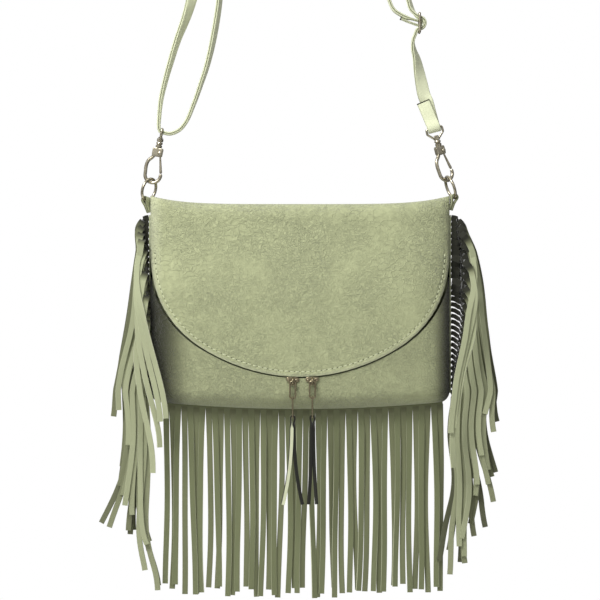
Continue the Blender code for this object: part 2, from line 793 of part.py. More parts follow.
def make_eye(side, stand):
    """A wire loop for the strap on a bored boss."""
    half = STRAP_WIDTH / 2 + GAP + EYE_WIRE
    straight = EYE_HEIGHT - (EYE_WIRE + 2 * GAP + STRAP)
    outline = [
        (half, 0.0, EYE_HEIGHT),
        (half, 0.0, straight),
        (EYE_BOSS_RADIUS - EYE_WIRE / 2, 0.0, 0.0004),
        (-EYE_BOSS_RADIUS + EYE_WIRE / 2, 0.0, 0.0004),
        (-half, 0.0, straight),
        (-half, 0.0, EYE_HEIGHT),
    ]
    turn = Matrix.Rotation(math.radians(EYE_TURN_DEG[side]), 3, "Z")
    outline = [tuple(turn @ Vector(point)) for point in outline]
    eye = wire(f"hook_eye_{side}", outline, EYE_WIRE, brass(), cyclic=True, parent=stand)
    boss = cylinder(
        f"hook_eye_{side}_boss",
        EYE_BOSS_RADIUS,
        (0.0, 0.0, EYE_BOSS[0]),
        (0.0, 0.0, EYE_BOSS[1]),
        brass(),
        parent=stand,
    )
    bore = cylinder(
        f"hook_eye_{side}_bore",
        POST_RADIUS + GAP,
        (0.0, 0.0, EYE_BOSS[0] - 0.002),
        (0.0, 0.0, EYE_BOSS[1] + 0.002),
        brass(),
        parent=stand,
    )
    combine(eye, boss, "UNION")
    combine(eye, bore, "DIFFERENCE")


def make_hook_body(side, axis):
    """Headed post, collar, slotted body and the open hook, as one casting."""
    collar_top = EYE_BOSS[0] - GAP
    collar_foot = collar_top - COLLAR_LENGTH
    head = EYE_BOSS[1] + GAP
    body_top = collar_foot + GAP
    slim = COLLAR_RADIUS * 0.86
    hook = turned(
        f"hook_body_{side}",
        [
            (0.0, head + POST_HEAD),
            (POST_HEAD_RADIUS, head + POST_HEAD * 0.6),
            (POST_HEAD_RADIUS, head),
            (POST_RADIUS, head),
            (POST_RADIUS, collar_top),
            (slim, collar_top),
            (COLLAR_RADIUS, collar_top - COLLAR_LENGTH * 0.2),
            (COLLAR_RADIUS, collar_top - COLLAR_LENGTH * 0.8),
            (slim, collar_foot),
            (slim, collar_foot - 0.0010),
            (0.0, collar_foot - 0.0010),
        ],
        brass(),
        parent=axis,
    )
    width, deep, tall = HOOK_BODY
    body = block(
        f"hook_{side}_block", (width, deep, tall), (0.0, 0.0, body_top - tall / 2), brass(),
        bevel=0.0009, parent=axis,
    )
    combine(hook, body, "UNION")
    turn_height = -HOOK_LENGTH + HOOK_HALF
    bend = [(x, 0.0, z) for x, z in arc_points((0.0, turn_height), HOOK_HALF, 180.0, 360.0, 9)]
    tip = (GATE_TIP[0], 0.0, GATE_TIP[1] - GAP * 1.5)
    start = body_top - tall * 0.75
    route = [(-width * 0.22, 0.0, start), (-width * 0.34, 0.0, start - 0.0020)]
    route += [(-HOOK_HALF * 0.95, 0.0, start - 0.0062)] + bend + [tip]
    bow = wire(f"hook_{side}_bow", route, HOOK_WIRE, brass(), parent=axis)
    combine(hook, bow, "UNION")
    slot_deep = GATE_EYE + 2 * GAP
    slot_top = GATE_PIVOT[1] + GATE_EYE_RADIUS + GAP
    slot_foot = body_top - tall - 0.002
    slot_left = GATE_PIVOT[0] - GATE_EYE_RADIUS - GAP
    slot = block(
        f"hook_{side}_slot",
        (width, slot_deep, slot_top - slot_foot),
        (slot_left + width / 2, 0.0, (slot_top + slot_foot) / 2),
        brass(),
        parent=axis,
    )
    combine(hook, slot, "DIFFERENCE")
    hole = cylinder(
        f"hook_{side}_hole",
        RIVET_RADIUS + GAP,
        (GATE_PIVOT[0], -deep, GATE_PIVOT[1]),
        (GATE_PIVOT[0], deep, GATE_PIVOT[1]),
        brass(),
        parent=axis,
    )
    combine(hook, hole, "DIFFERENCE")


def make_gate(side, axis):
    """The gate's lever on its pivot, and the rivet through it."""
    pivot = add_empty(
        f"hook_gate_{side}_axis", (GATE_PIVOT[0], 0.0, GATE_PIVOT[1]), None, axis
    )
    half = GATE_EYE / 2
    gate = cylinder(
        f"hook_gate_{side}", GATE_EYE_RADIUS, (0.0, -half, 0.0), (0.0, half, 0.0), brass(),
        parent=pivot,
    )
    tip = Vector((GATE_TIP[0] - GATE_PIVOT[0], 0.0, GATE_TIP[1] - GATE_PIVOT[1]))
    lever = cylinder(
        f"hook_gate_{side}_lever",
        half * 0.9,
        tip.normalized() * 0.0008,
        tip,
        brass(),
        end_radius=HOOK_WIRE * 0.85,
        steps=10,
        parent=pivot,
    )
    combine(gate, lever, "UNION")
    eye = cylinder(
        f"hook_gate_{side}_eye",
        RIVET_RADIUS + GAP,
        (0.0, -half * 2, 0.0),
        (0.0, half * 2, 0.0),
        brass(),
        parent=pivot,
    )
    combine(gate, eye, "DIFFERENCE")
    head = HOOK_BODY[1] / 2 + GAP
    rivet = turned(
        f"hook_rivet_{side}",
        [
            (0.0, head + RIVET_HEAD),
            (RIVET_HEAD_RADIUS * 0.6, head + RIVET_HEAD),
            (RIVET_HEAD_RADIUS, head + RIVET_HEAD * 0.4),
            (RIVET_HEAD_RADIUS, head),
            (RIVET_RADIUS, head),
            (RIVET_RADIUS, -head),
            (RIVET_HEAD_RADIUS, -head),
            (RIVET_HEAD_RADIUS, -head - RIVET_HEAD * 0.4),
            (RIVET_HEAD_RADIUS * 0.6, -head - RIVET_HEAD),
            (0.0, -head - RIVET_HEAD),
        ],
        brass(),
        steps=10,
        parent=pivot,
    )
    rivet.rotation_euler = (math.radians(90), 0.0, 0.0)


def crown_arc(radius, start_deg, end_deg):
    """Points over the crown, with a level facet at the middle whose inner face is at z = 0."""
    centre = -CROWN_RADIUS * math.cos(math.radians(CROWN_STEP_DEG / 2))
    count = round(abs(end_deg - start_deg) / CROWN_STEP_DEG) + 1
    return arc_points((0.0, centre), radius, start_deg, end_deg, count)


def strap_twist(run, z):
    """Direction of the strap's width at height z, turned from Y as far as that run is twisted."""
    high, low = STRAP_TWIST_DEG[run]
    start, full, half, end = TWIST_SPAN
    angle = math.radians(np.interp(-z, [-start, -full, -half, -end], [0.0, high, low, 0.0]))
    return (math.sin(angle), math.cos(angle), 0.0)


def strap_route():
    """The strap's points, with the direction of its width, its width and its thickness at each."""
    flat_y = (0.0, 1.0, 0.0)
    rows = []

    def add(x, y, z, across=flat_y, width=STRAP_WIDTH, thick=STRAP):
        rows.append(((x, y, z), across, width, thick))

    # The sewn end round the right eye, from its raw edge on the front
    bar = eye_bar("right")
    up = lean_direction(HOOK_LEAN_DEG["right"])
    level = (up.z, 0.0, -up.x)
    close = (STRAP + GAP) / 2
    loop = EYE_WIRE + GAP + STRAP / 2

    def by_eye(along, y, skew=0.0):
        place = bar + up * along - Vector(level) * skew * along / SEWN_END
        add(place.x, y, place.z, level)

    for along in (SEWN_END, SEWN_END * 0.65, SEWN_END * 0.32):
        by_eye(along, -close, SEWN_SKEW)
    for angle in np.radians(np.linspace(200.0, 340.0, 7)):
        by_eye(loop * math.sin(angle), loop * math.cos(angle))
    for along in (SEWN_END * 0.32, SEWN_END * 0.65, SEWN_END):
        by_eye(along, close)

    # The single run up to the buckle, turning from face-on to edge-on
    climb = [(bar.x + x, bar.z + z) for x, z in RIGHT_EYE_OFF] + TO_BUCKLE
    for index, (x, z) in enumerate(climb):
        share = (index + 1) / len(climb)
        turned_across = (1 - share) * np.array(level) + share * np.array(flat_y)
        add(x, close * (1 - share), z, tuple(turned_across))

    # Woven through the buckle: left of the lower bar, right of the middle one, left of the top one
    bx, bz = BUCKLE_PLACE
    near = BUCKLE_WIRE + GAP + STRAP / 2
    wide = BUCKLE_WIRE + 2 * GAP + STRAP_SKIVED + STRAP / 2
    tangent = 90.0 - math.degrees(math.asin((near + wide) / BUCKLE_PITCH))
    for x, z in arc_points((bx, bz - BUCKLE_PITCH), near, 175.0, 90.0 + tangent, 5):
        add(x, 0.0, z)
    for x, z in arc_points((bx, bz), wide, -90.0 + tangent, 90.0 - tangent, 7):
        add(x, 0.0, z)
    for x, z in arc_points((bx, bz + BUCKLE_PITCH), near, -90.0 - tangent, -140.0, 3):
        add(x, 0.0, z)

    # Over the shoulder as the outer layer, and down to the left eye
    outer = CROWN_RADIUS + GAP + 1.5 * STRAP
    inner = CROWN_RADIUS + STRAP / 2
    for x, z in TO_CROWN:
        add(x, 0.0, z, strap_twist("right_up", z))
    for x, z in crown_arc(outer, 4.5, 175.5):
        add(x, 0.0, z)
    for x, z in TO_HOOK:
        add(x, 0.0, z, strap_twist("left_down", z))

    # Round the left eye's bar, then up as the inner layer
    bar = eye_bar("left")
    for x, z in LEFT_EYE_ON:
        add(bar.x + x, 0.0, bar.z + z, strap_twist("left_down", bar.z + z))
    for x, z in arc_points((bar.x, bar.z), loop, 185.0, 275.0, 5):
        add(x, 0.0, z)
    for x, z in LEFT_EYE_OFF:
        add(bar.x + x, 0.0, bar.z + z, strap_twist("left_up", bar.z + z))
    for x, z in FROM_HOOK:
        add(x, 0.0, z, strap_twist("left_up", z))
    for x, z in crown_arc(inner, 175.5, 4.5):
        add(x, 0.0, z)
    for x, z in FROM_CROWN:
        add(x, 0.0, z)

    # The other end, thinned and sewn round the buckle's middle bar
    skived = BUCKLE_WIRE + GAP + STRAP_SKIVED / 2
    for index, (back, up) in enumerate(TAIL_OVER):
        add(bx - back, 0.0, bz + up, thick=STRAP_SKIVED if index == 2 else STRAP)
    for x, z in arc_points((bx, bz), skived, 110.0, -110.0, 9):
        add(x, 0.0, z, thick=STRAP_SKIVED)
    for back, up in TAIL_UNDER:
        add(bx - back, 0.0, bz + up, thick=STRAP_SKIVED)
    return rows


def make_strap():
    rows = strap_route()
    points, across, widths, thicknesses = zip(*rows)
    rings = ribbon_rings(points, across, widths, thicknesses)
    add_object("strap", loft("strap", rings), suede())


def make_buckle():
    """A frame with a middle bar, seen edge-on from the front."""
    x, z = BUCKLE_PLACE
    half = STRAP_WIDTH / 2 + GAP + BUCKLE_WIRE
    place = add_empty("adjuster_buckle_place", (x, 0.0, z))
    outline = []
    for sign_y, sign_z in ((1, 1), (-1, 1), (-1, -1), (1, -1)):
        ends = [
            (0.0, sign_y * (half - BUCKLE_CORNER), sign_z * BUCKLE_PITCH),
            (0.0, sign_y * half, sign_z * (BUCKLE_PITCH - BUCKLE_CORNER)),
        ]
        outline += ends[::-1] if sign_y * sign_z > 0 else ends
    frame = wire("adjuster_buckle", outline, BUCKLE_WIRE, brass(), cyclic=True, parent=place)
    bar = cylinder(
        "adjuster_buckle_bar",
        BUCKLE_WIRE * 0.98,
        (0.0, -half, 0.0),
        (0.0, half, 0.0),
        brass(),
        steps=10,
        parent=place,
    )
    combine(frame, bar, "UNION")


def comb(name, inner_line, roots, strands):
    """A band with strands cut from its outer edge, as one closed body.

    inner_line holds the band's inner edge and roots each strand's two root points, all in the plane
    y = 0 and in the same order. strands holds each strand's rings past its root.
    """
    points, faces = [], []

    def add(point, y):
        points.append((point[0], y, point[2]))
        return len(points) - 1

    half = STRAND / 2
    inner = [(add(point, -half), add(point, half)) for point in inner_line]
    edge = []
    for (first, last), rings in zip(roots, strands):
        here = (add(first, -half), add(first, half))
        after = (add(last, -half), add(last, half))
        edge += [here, after]
        ring = [here[0], after[0], after[1], here[1]]
        for corners in rings:
            start = len(points)
            points.extend(tuple(corner) for corner in corners)
            grown = list(range(start, start + 4))
            for index in range(4):
                follow = (index + 1) % 4
                faces.append((ring[index], ring[follow], grown[follow], grown[index]))
            ring = grown
        faces.append(tuple(ring))
    for number in range(1, len(edge) - 1, 2):
        a, b = edge[number], edge[number + 1]
        faces.append((a[0], b[0], b[1], a[1]))
    loop = [pair for pair in inner] + [pair for pair in reversed(edge)]
    faces.append(tuple(pair[0] for pair in loop))
    faces.append(tuple(pair[1] for pair in reversed(loop)))
    for a, b in zip(inner, inner[1:]):
        faces.append((a[0], b[0], b[1], a[1]))
    faces.append((inner[0][0], edge[0][0], edge[0][1], inner[0][1]))
    faces.append((inner[-1][0], edge[-1][0], edge[-1][1], inner[-1][1]))
    return mesh_of(name, points, faces)


def strand_rings(path, across):
    """Rings along a strand past its root, in the order of the comb's root corners."""
    count = len(path)
    tangents = np.gradient(np.asarray(path), axis=0)
    rings = []
    for index in range(1, count):
        along = tangents[index] / np.linalg.norm(tangents[index])
        side = np.asarray(across[index], float)
        side -= along * side.dot(along)
        side /= np.linalg.norm(side)
        deep = np.cross(along, side)
        if deep[1] < 0:
            deep = -deep
        centre = np.asarray(path[index])
        half, thick = side * STRAND_WIDTH / 2, deep * STRAND / 2
        rings.append([centre - half - thick, centre + half - thick,
                      centre + half + thick, centre - half + thick])
    return rings


def bottom_line(x):
    """Height of the bottom seam at x."""
    share = abs(x) / HALF_WIDTH
    return -HEIGHT + BOTTOM_SAG * share**2


def bottom_strand(index):
    """A strand's points below the bottom seam, with gentle bends to either side."""
    chance = random.Random(100 + index)
    x = (index - (BOTTOM_STRANDS - 1) / 2) * BOTTOM_PITCH + BOTTOM_SHIFT
    start = bottom_line(x) - BAND_OUTSIDE
    length = BOTTOM_LENGTH + chance.uniform(*BOTTOM_CUT)
    drift = chance.uniform(-BOTTOM_DRIFT, BOTTOM_DRIFT)
    bow = chance.uniform(-BOTTOM_BOW, BOTTOM_BOW)
    layer = BOTTOM_LAYER if index % 2 else -BOTTOM_LAYER
    path = []
    for share in np.linspace(0.0, 1.0, BOTTOM_SEGMENTS + 1):
        side = drift * share**2 + bow * math.sin(math.pi * share)
        deep = layer * smoothstep(share * 5)
        path.append((x + side, float(deep), start - length * share))
    return x, path


def make_bottom_fringe(bag):
    roots, strands, inner = [], [], []
    for index in range(BOTTOM_STRANDS):
        x, path = bottom_strand(index)
        half = STRAND_WIDTH / 2
        height = path[0][2]
        roots.append(((x - half, 0.0, height), (x + half, 0.0, height)))
        strands.append(strand_rings(path, [(1.0, 0.0, 0.0)] * len(path)))
    for index in np.linspace(0, BOTTOM_STRANDS - 1, 12).round().astype(int):
        x = roots[index][0][0] if index < BOTTOM_STRANDS / 2 else roots[index][1][0]
        inner.append((x, 0.0, bottom_line(x) + BAND_INSIDE))
    mesh = comb("fringe_bottom", inner, roots, strands)
    add_object("fringe_bottom", mesh, fringe_suede(), bag)


def bundle_inner(side, drop):
    """How far from the side seam the hanging bundle's inner side lies, drop below the top fold."""
    drops, reaches = zip(*BUNDLE[side])
    return float(np.interp(drop, drops, reaches))


def column_step(side, drop):
    """The bundle's growth for each strand passed: even at first, and wider where the ends part."""
    most, start, end = SIDE_SPREAD
    grown = 1 + (most - 1) * float(smoothstep((drop - start) / (end - start)))
    return SIDE_COLUMN / SIDE_LAYERS[side] * grown


def side_strand(index, side):
    """A strand's points from the side seam: out, over the strands below it, and down."""
    sign = SIDES[side]
    chance = random.Random(500 + 40 * sign + index)
    pitch = STRAND_WIDTH + STRAND_GAP
    root = SIDE_FIRST + index * pitch
    length = SIDE_LENGTH + chance.uniform(*SIDE_CUT)
    layer = -(SIDE_FIRST_LAYER + SIDE_LAYER_STEP * (index * 2 % SIDE_LAYERS[side]))
    below = SIDE_STRANDS - 1 - index
    flick = chance.uniform(-SIDE_FLICK, SIDE_FLICK)
    path = []
    drops = [0.0, SIDE_TURN * 0.14, SIDE_TURN * 0.5]
    drops += list(np.linspace(SIDE_TURN, length, SIDE_SEGMENTS))
    for drop in drops:
        passed = min(drop / pitch, below)
        hang = bundle_inner(side, root + drop) + column_step(side, root + drop) * passed
        hang += flick * (drop / length) ** 3
        out = hang * float(quarter(drop / SIDE_TURN))
        deep = layer * float(smoothstep(drop / SIDE_TURN * 1.6))
        path.append((sign * (HALF_WIDTH + BAND_OUTSIDE + out), deep, -root - drop))
    return root, path


def make_side_fringe(side, bag):
    sign = SIDES[side]
    roots, strands = [], []
    edge = sign * (HALF_WIDTH + BAND_OUTSIDE)
    for index in range(SIDE_STRANDS):
        root, path = side_strand(index, side)
        half = STRAND_WIDTH / 2
        roots.append(((edge, 0.0, -root + half), (edge, 0.0, -root - half)))
        across = []
        for number in range(len(path)):
            near, far = path[max(number - 1, 0)], path[min(number + 1, len(path) - 1)]
            run = np.subtract(far, near)
            run[1] = 0.0
            run /= np.linalg.norm(run)
            across.append((run[2] * sign, 0.0, -run[0] * sign))
        strands.append(strand_rings(path, across))
    inner_x = sign * (HALF_WIDTH - BAND_INSIDE)
    inner = [(inner_x, 0.0, roots[0][0][2]), (inner_x, 0.0, roots[-1][1][2])]
    mesh = comb(f"fringe_{side}", inner, roots, strands)
    add_object(f"fringe_{side}", mesh, fringe_suede(), bag)


def main():
    clear_scene()
    make_collections()
    bag = add_empty("bag", (0.0, 0.0, -BAG_DROP))
    make_back_flap_panel(bag)
    make_front_panel(bag)
    make_zip(bag)
    for side in SIDES:
        make_zip_end(side, bag)
        make_ring(side, bag)
        make_ring_tab(side, bag)
        make_hook(side, bag)
        make_side_fringe(side, bag)
    make_bottom_fringe(bag)
    make_buckle()
    make_strap()


main()
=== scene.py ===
"""Looks of a fringed suede shoulder bag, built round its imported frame."""

import math
import random

import bpy
import numpy as np
from bpy.props import FloatProperty, FloatVectorProperty, PointerProperty
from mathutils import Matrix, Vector


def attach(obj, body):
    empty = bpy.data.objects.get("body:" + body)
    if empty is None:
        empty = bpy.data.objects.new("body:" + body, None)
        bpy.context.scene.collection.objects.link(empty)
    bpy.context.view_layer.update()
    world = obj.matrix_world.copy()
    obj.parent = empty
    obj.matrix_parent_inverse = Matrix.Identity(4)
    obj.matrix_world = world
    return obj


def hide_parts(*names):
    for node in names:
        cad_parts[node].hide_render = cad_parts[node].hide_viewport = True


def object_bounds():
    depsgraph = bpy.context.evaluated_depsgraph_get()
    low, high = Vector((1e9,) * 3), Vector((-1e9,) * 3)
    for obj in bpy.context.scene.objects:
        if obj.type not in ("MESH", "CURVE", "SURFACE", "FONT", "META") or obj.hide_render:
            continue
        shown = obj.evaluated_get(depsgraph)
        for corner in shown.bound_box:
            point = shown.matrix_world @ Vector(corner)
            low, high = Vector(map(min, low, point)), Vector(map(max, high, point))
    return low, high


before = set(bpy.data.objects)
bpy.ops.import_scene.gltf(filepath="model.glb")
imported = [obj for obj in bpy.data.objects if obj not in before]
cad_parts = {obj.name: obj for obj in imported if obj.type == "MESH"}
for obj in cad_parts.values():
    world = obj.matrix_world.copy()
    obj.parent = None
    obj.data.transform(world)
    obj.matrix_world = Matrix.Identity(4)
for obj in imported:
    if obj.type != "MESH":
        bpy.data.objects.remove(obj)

bl_info = {
    "name": "Fringed Suede Bag",
    "version": (1, 0, 0),
    "blender": (4, 5, 0),
    "location": "3D View > Sidebar > Bag",
    "description": "Dresses the packed frame of a fringed suede shoulder bag",
    "category": "Object",
}

CAD_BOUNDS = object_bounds()

ALONG_X = (1.0, 0.0, 0.0)
ALONG_Y = (0.0, 1.0, 0.0)

# The pouch, as its solids have it
GAP = 0.0003
HALF_WIDTH = 0.1196
HEIGHT = 0.1640
BAG_DROP = 0.3536
CORNER_RISE = 0.0066
BOTTOM_SAG = 0.0055
CORNER_RADIUS = 0.0090
PANEL = 0.0015
FRONT_DEPTHS = (0.0190, 0.0120)
BACK_DEPTHS = (0.0130, 0.0100)
FOLD_REACH = 0.0120
BASE_REACH = 0.0140
LEAN_END = 0.0800
SIDE_EXPONENT = 8.0
FLAP_LIFT = 0.0010
NOTCH_DROP = 0.0370
FLAP_DROP = 0.1378
FLAP_RADIUS = 0.1540
FLAP_ARC_DEG = 29.0
CORNER_HANDLES = (0.0280, 0.0420)
ARC_STEPS = 5
OUTLINE_STEPS = 11
SLIT = 0.0024
STITCH_SHARE = 0.64
STITCH_LIFT = 0.00042
STITCH_END = 0.12
TAPE = 0.0006
TAPE_SEAT = 0.0005
TAPE_WIDTH = 0.0075
COIL_WIDTH = 0.0034
COIL_HEIGHT = 0.0013
COIL_PITCH = 0.0014
ZIP_REACH = 7.0

# Sliders and pulls
SLIDER_LENGTH = 0.0104
SLIDER_HEIGHT = 0.0069
SLIDER_PLATE = 0.0012
SLIDER_ANGLES_DEG = {"left": -2.3, "right": 3.9}
RUN_RADIUS = 0.1424
KEEL = (0.0060, 0.0012)
BAIL_HALF = 0.0026
BAIL_REACH = 0.0032
BAIL_RADIUS = 0.00065
PULL_OFFSET = 0.0017
PULL_RING = (0.0022, 0.0138, 0.0007)
LINK = (0.0022, 0.0165, 0.00065)
LINK_CORNER = 0.0006
LINK_TOP = 0.00145
TAB_WIDTH = 0.0030
TAB_THICKNESS = 0.0014
TAB_LENGTH = 0.0690
TAB_STRAIGHT = 0.0055
TAB_STAGGER = 0.0009
TAB_SPREAD = {"left": (0.0080, 0.0078), "right": (0.0030, 0.0034)}
TAB_TURN = {"left": (1.1, 0.8), "right": (0.8, -0.7)}

# Rings, hooks and their tabs
RING_RADIUS = 0.00885
RING_WIRE = 0.00115
RING_TURN_DEG = {"left": 33.0, "right": -16.0}
RING_LEAN_DEG = {"left": 17.0, "right": -20.0}
RING_FOOT = {"left": (-0.1234, 0.0030), "right": (0.1234, 0.0050)}
RING_TAB = 0.0013
RING_TAB_WIDTH = 0.0056
RING_TAB_TAIL_WIDTH = 0.0024
RING_TAB_DROP = 0.0100
HOOK_LEAN_DEG = {"left": 12.0, "right": -15.0}
HOOK_TURN_DEG = {"left": -8.0, "right": 35.0}
HOOK_LENGTH = 0.0345
HOOK_HALF = 0.0063
HOOK_WIRE = 0.0014
HOOK_BODY = (0.0082, 0.0042, 0.0072)
COLLAR_RADIUS = 0.0026
COLLAR_LENGTH = 0.0050
POST_RADIUS = 0.00105
POST_HEAD_RADIUS = 0.0020
POST_HEAD = 0.0010
EYE_HEIGHT = 0.0090
EYE_WIRE = 0.0009
EYE_CORNER = 0.0012
EYE_BOSS_RADIUS = 0.0026
EYE_BOSS = (-0.0012, 0.0014)
EYE_TURN_DEG = {"left": 90.0, "right": 0.0}
GATE_PIVOT = (0.0022, -0.0103)
GATE_TIP = (0.0061, -0.0260)
GATE_EYE_RADIUS = 0.0017
GATE_EYE = 0.0014
RIVET_RADIUS = 0.00075
RIVET_HEAD_RADIUS = 0.0016
RIVET_HEAD = 0.0006

# The strap and its buckle
STRAP_WIDTH = 0.0105
STRAP = 0.0028
STRAP_SKIVED = 0.0014
CROWN_RADIUS = 0.0500
CROWN_STEP_DEG = 9.0
SEWN_END = 0.0220
SEWN_SKEW = 0.0030
END_COVER = (1.01, 1.08)
STRAP_TWIST_DEG = {"left_down": (50.0, 20.0), "left_up": (14.0, 16.0), "right_up": (14.0, 14.0)}
TWIST_SPAN = (-0.0900, -0.1800, -0.2200, -0.2900)
BUCKLE_PLACE = (0.0956, -0.2088)
BUCKLE_WIRE = 0.0010
BUCKLE_PITCH = 0.0074
BUCKLE_CORNER = 0.0008
TO_BUCKLE = [(0.0932, -0.2370), (0.0908, -0.2290), (0.0905, -0.2225)]
TO_CROWN = [(0.0900, -0.1990), (0.0870, -0.1905), (0.0815, -0.1700), (0.0750, -0.1450),
            (0.0680, -0.1180), (0.0618, -0.0900), (0.0572, -0.0630)]
TO_HOOK = [(-0.0575, -0.0640), (-0.0630, -0.0910), (-0.0692, -0.1200), (-0.0762, -0.1500),
           (-0.0838, -0.1790), (-0.0906, -0.2030), (-0.0982, -0.2230)]
FROM_HOOK = [(-0.0750, -0.2450), (-0.0712, -0.2304), (-0.0680, -0.2144), (-0.0654, -0.1984),
             (-0.0630, -0.1750), (-0.0606, -0.1480), (-0.0580, -0.1180), (-0.0556, -0.0880),
             (-0.0532, -0.0640)]
FROM_CROWN = [(0.0532, -0.0640), (0.0552, -0.0900), (0.0578, -0.1180), (0.0612, -0.1450),
              (0.0655, -0.1700), (0.0710, -0.1900), (0.0752, -0.1985)]
RIGHT_EYE_OFF = [(-0.0073, 0.0247), (-0.0097, 0.0347), (-0.0119, 0.0457)]
LEFT_EYE_ON = [(0.0066, 0.0540), (0.0021, 0.0380), (-0.0011, 0.0240), (-0.0025, 0.0110)]
LEFT_EYE_OFF = [(0.0053, -0.0036), (0.0096, -0.0026), (0.0141, 0.0), (0.0179, 0.0044),
                (0.0211, 0.0102), (0.0236, 0.0165), (0.0265, 0.0240), (0.0305, 0.0355)]
TAIL_OVER = [(0.0150, 0.0066), (0.0105, 0.0044), (0.0055, 0.0030)]
TAIL_UNDER = [(0.0055, -0.0004), (0.0105, 0.0015), (0.0150, 0.0034)]

# The fringe
STRAND = 0.0012
STRAND_WIDTH = 0.0042
STRAND_GAP = 0.0004
BAND_INSIDE = 0.0040
BAND_OUTSIDE = 0.0012
SIDE_STRANDS = 31
SIDE_FIRST = 0.0110
SIDE_LENGTH = 0.1560
SIDE_LAYERS = {"left": 7, "right": 5}
SIDE_LAYER_STEP = 0.0018
SIDE_FIRST_LAYER = 0.0026
SIDE_COLUMN = 0.0047
SIDE_SPREAD = (1.8, 0.1600, 0.2700)
SIDE_TURN = 0.0100
SIDE_CUT = (-0.0220, 0.0060)
SIDE_FLICK = 0.0030
BUNDLE = {
    "left": [(0.011, 0.0060), (0.035, 0.0092), (0.060, 0.0080), (0.085, 0.0050), (0.110, 0.0028),
             (0.162, 0.0014), (0.185, 0.0000), (0.215, 0.0005), (0.255, 0.0025), (0.275, 0.0000),
             (0.300, -0.0090)],
    "right": [(0.011, 0.0070), (0.033, 0.0106), (0.070, 0.0106), (0.100, 0.0074), (0.130, 0.0038),
              (0.162, 0.0014), (0.180, -0.0010), (0.225, 0.0030), (0.255, -0.0010), (0.300, 0.0010)],
}
OVER_STRANDS = {
    "left": {2: (0, 0.0165), 5: (1, 0.0140), 9: (2, 0.0150), 13: (3, 0.0120)},
    "right": {3: (0, 0.0020), 7: (1, 0.0020), 11: (2, 0.0060)},
}
ROOT_WIDTH = {"left": 0.84, "right": 0.80}
ROOT_PULL = {"left": 0.0052, "right": -0.0030}
DARK_RUN = {"left": 0.0030, "right": 0.0075}
FLARE = {"left": 0.0030, "right": 0.0060}
STRAYS = {"left": {18: 0.023, 19: 0.014, 22: 0.008, 25: 0.010}, "right": {16: 0.012, 20: 0.008}}
BOTTOM_STRANDS = 46
BOTTOM_PITCH = 0.00487
BOTTOM_SHIFT = 0.0024
BOTTOM_LENGTH = 0.1480
BOTTOM_LAYER = 0.0009
BOTTOM_CUT = (-0.0060, 0.0030)
BOTTOM_DRIFT = 0.0022
BOTTOM_BOW = 0.0016
OVER_FIRST = 0.0012
OVER_STEP = 0.0021
OVER_DEPTH = 0.0205
OVER_LAYER = 0.0013
ROOT_FULL = 1.10
ROOT_BEND = 0.25
STRAND_FULL = 1.04
DARK_FADE = 0.0070
SIDE_FILL = 0.95
BOTTOM_FILL = 0.98
STRAND_BEVEL = 0.00018
BEHIND_SHADE = (0.18, 1.30)
SEAM = STRAND / 2 + GAP
CRISP_DEG = 35.0
SIDES = {"left": -1, "right": 1}

# The photograph's frame: metres of the object to a pixel, and how far the camera stands
PICTURE = 600
PIXEL = 0.0008
CAMERA_REACH = 3.0
VIEW_TOP = -0.1904
SENSOR = 0.036
FLOOR_DROP = 0.045
SKY_HEADING = (-0.35, -0.35, 0.87)

# Marks on the meshes' edge attribute: below 0 paler (worn lip, pale strand edges and a painted highlight), 0
# to 1 towards the cut-edge colour (cut edges and painted shade), 1 to 2 towards near black (painted deep
# shade, inked tabs and the strap's layer join)
PALE_EDGE = -0.9
WORN_LIP = 0.55
SIDE_HIGHLIGHT = 0.45
INKED = 1.85
FRONT_SHADE = 0.24
LEFT_SHADE = (1.55, 0.008, 0.028)
RIGHT_SHADE = (1.6, 0.015)
BOTTOM_SHADE = (0.45, 0.9)
DEEP_SHADE = 1.95
PALE_NAP = (0.72, 0.74, 0.52, 1.0)
DARK_NAP = (0.008, 0.008, 0.005, 1.0)


# Meshes


def unit(vector):
    """A vector, or each vector of an array, at length 1."""
    vector = np.asarray(vector, float)
    return vector / np.linalg.norm(vector, axis=-1, keepdims=True)


def smoothstep(value):
    """A soft rise from 0 at 0 to 1 at 1: three times the square less twice the cube."""
    value = np.clip(value, 0.0, 1.0)
    return value * value * (3 - 2 * value)


def quarter(value):
    """A quarter circle's rise: 0 at 0, upright there, and 1 and level at 1 and beyond."""
    return np.sqrt(1 - (1 - np.clip(value, 0.0, 1.0)) ** 2)


def soft_noise(places, cell, seed):
    """Smooth hills between -1 and 1: a sum of plane waves of random heading and length near cell."""
    chance = np.random.default_rng(seed)
    total = np.zeros(places.shape[:-1])
    for _ in range(9):
        heading = unit(chance.normal(size=places.shape[-1]))
        length = cell * chance.uniform(0.7, 1.6)
        total += np.sin(places @ heading * 2 * math.pi / length + chance.uniform(0, 2 * math.pi))
    return total / 4.5


def held_volume(flat, faces):
    """Six times the volume that lists of faces hold, and below zero where they face inwards."""
    total = 0.0
    for group in faces:
        corners = flat[group]
        for last in range(2, group.shape[1]):
            spun = np.cross(corners[:, last - 1], corners[:, last])
            total += np.einsum("ij,ij->i", corners[:, 0], spun).sum()
    return total


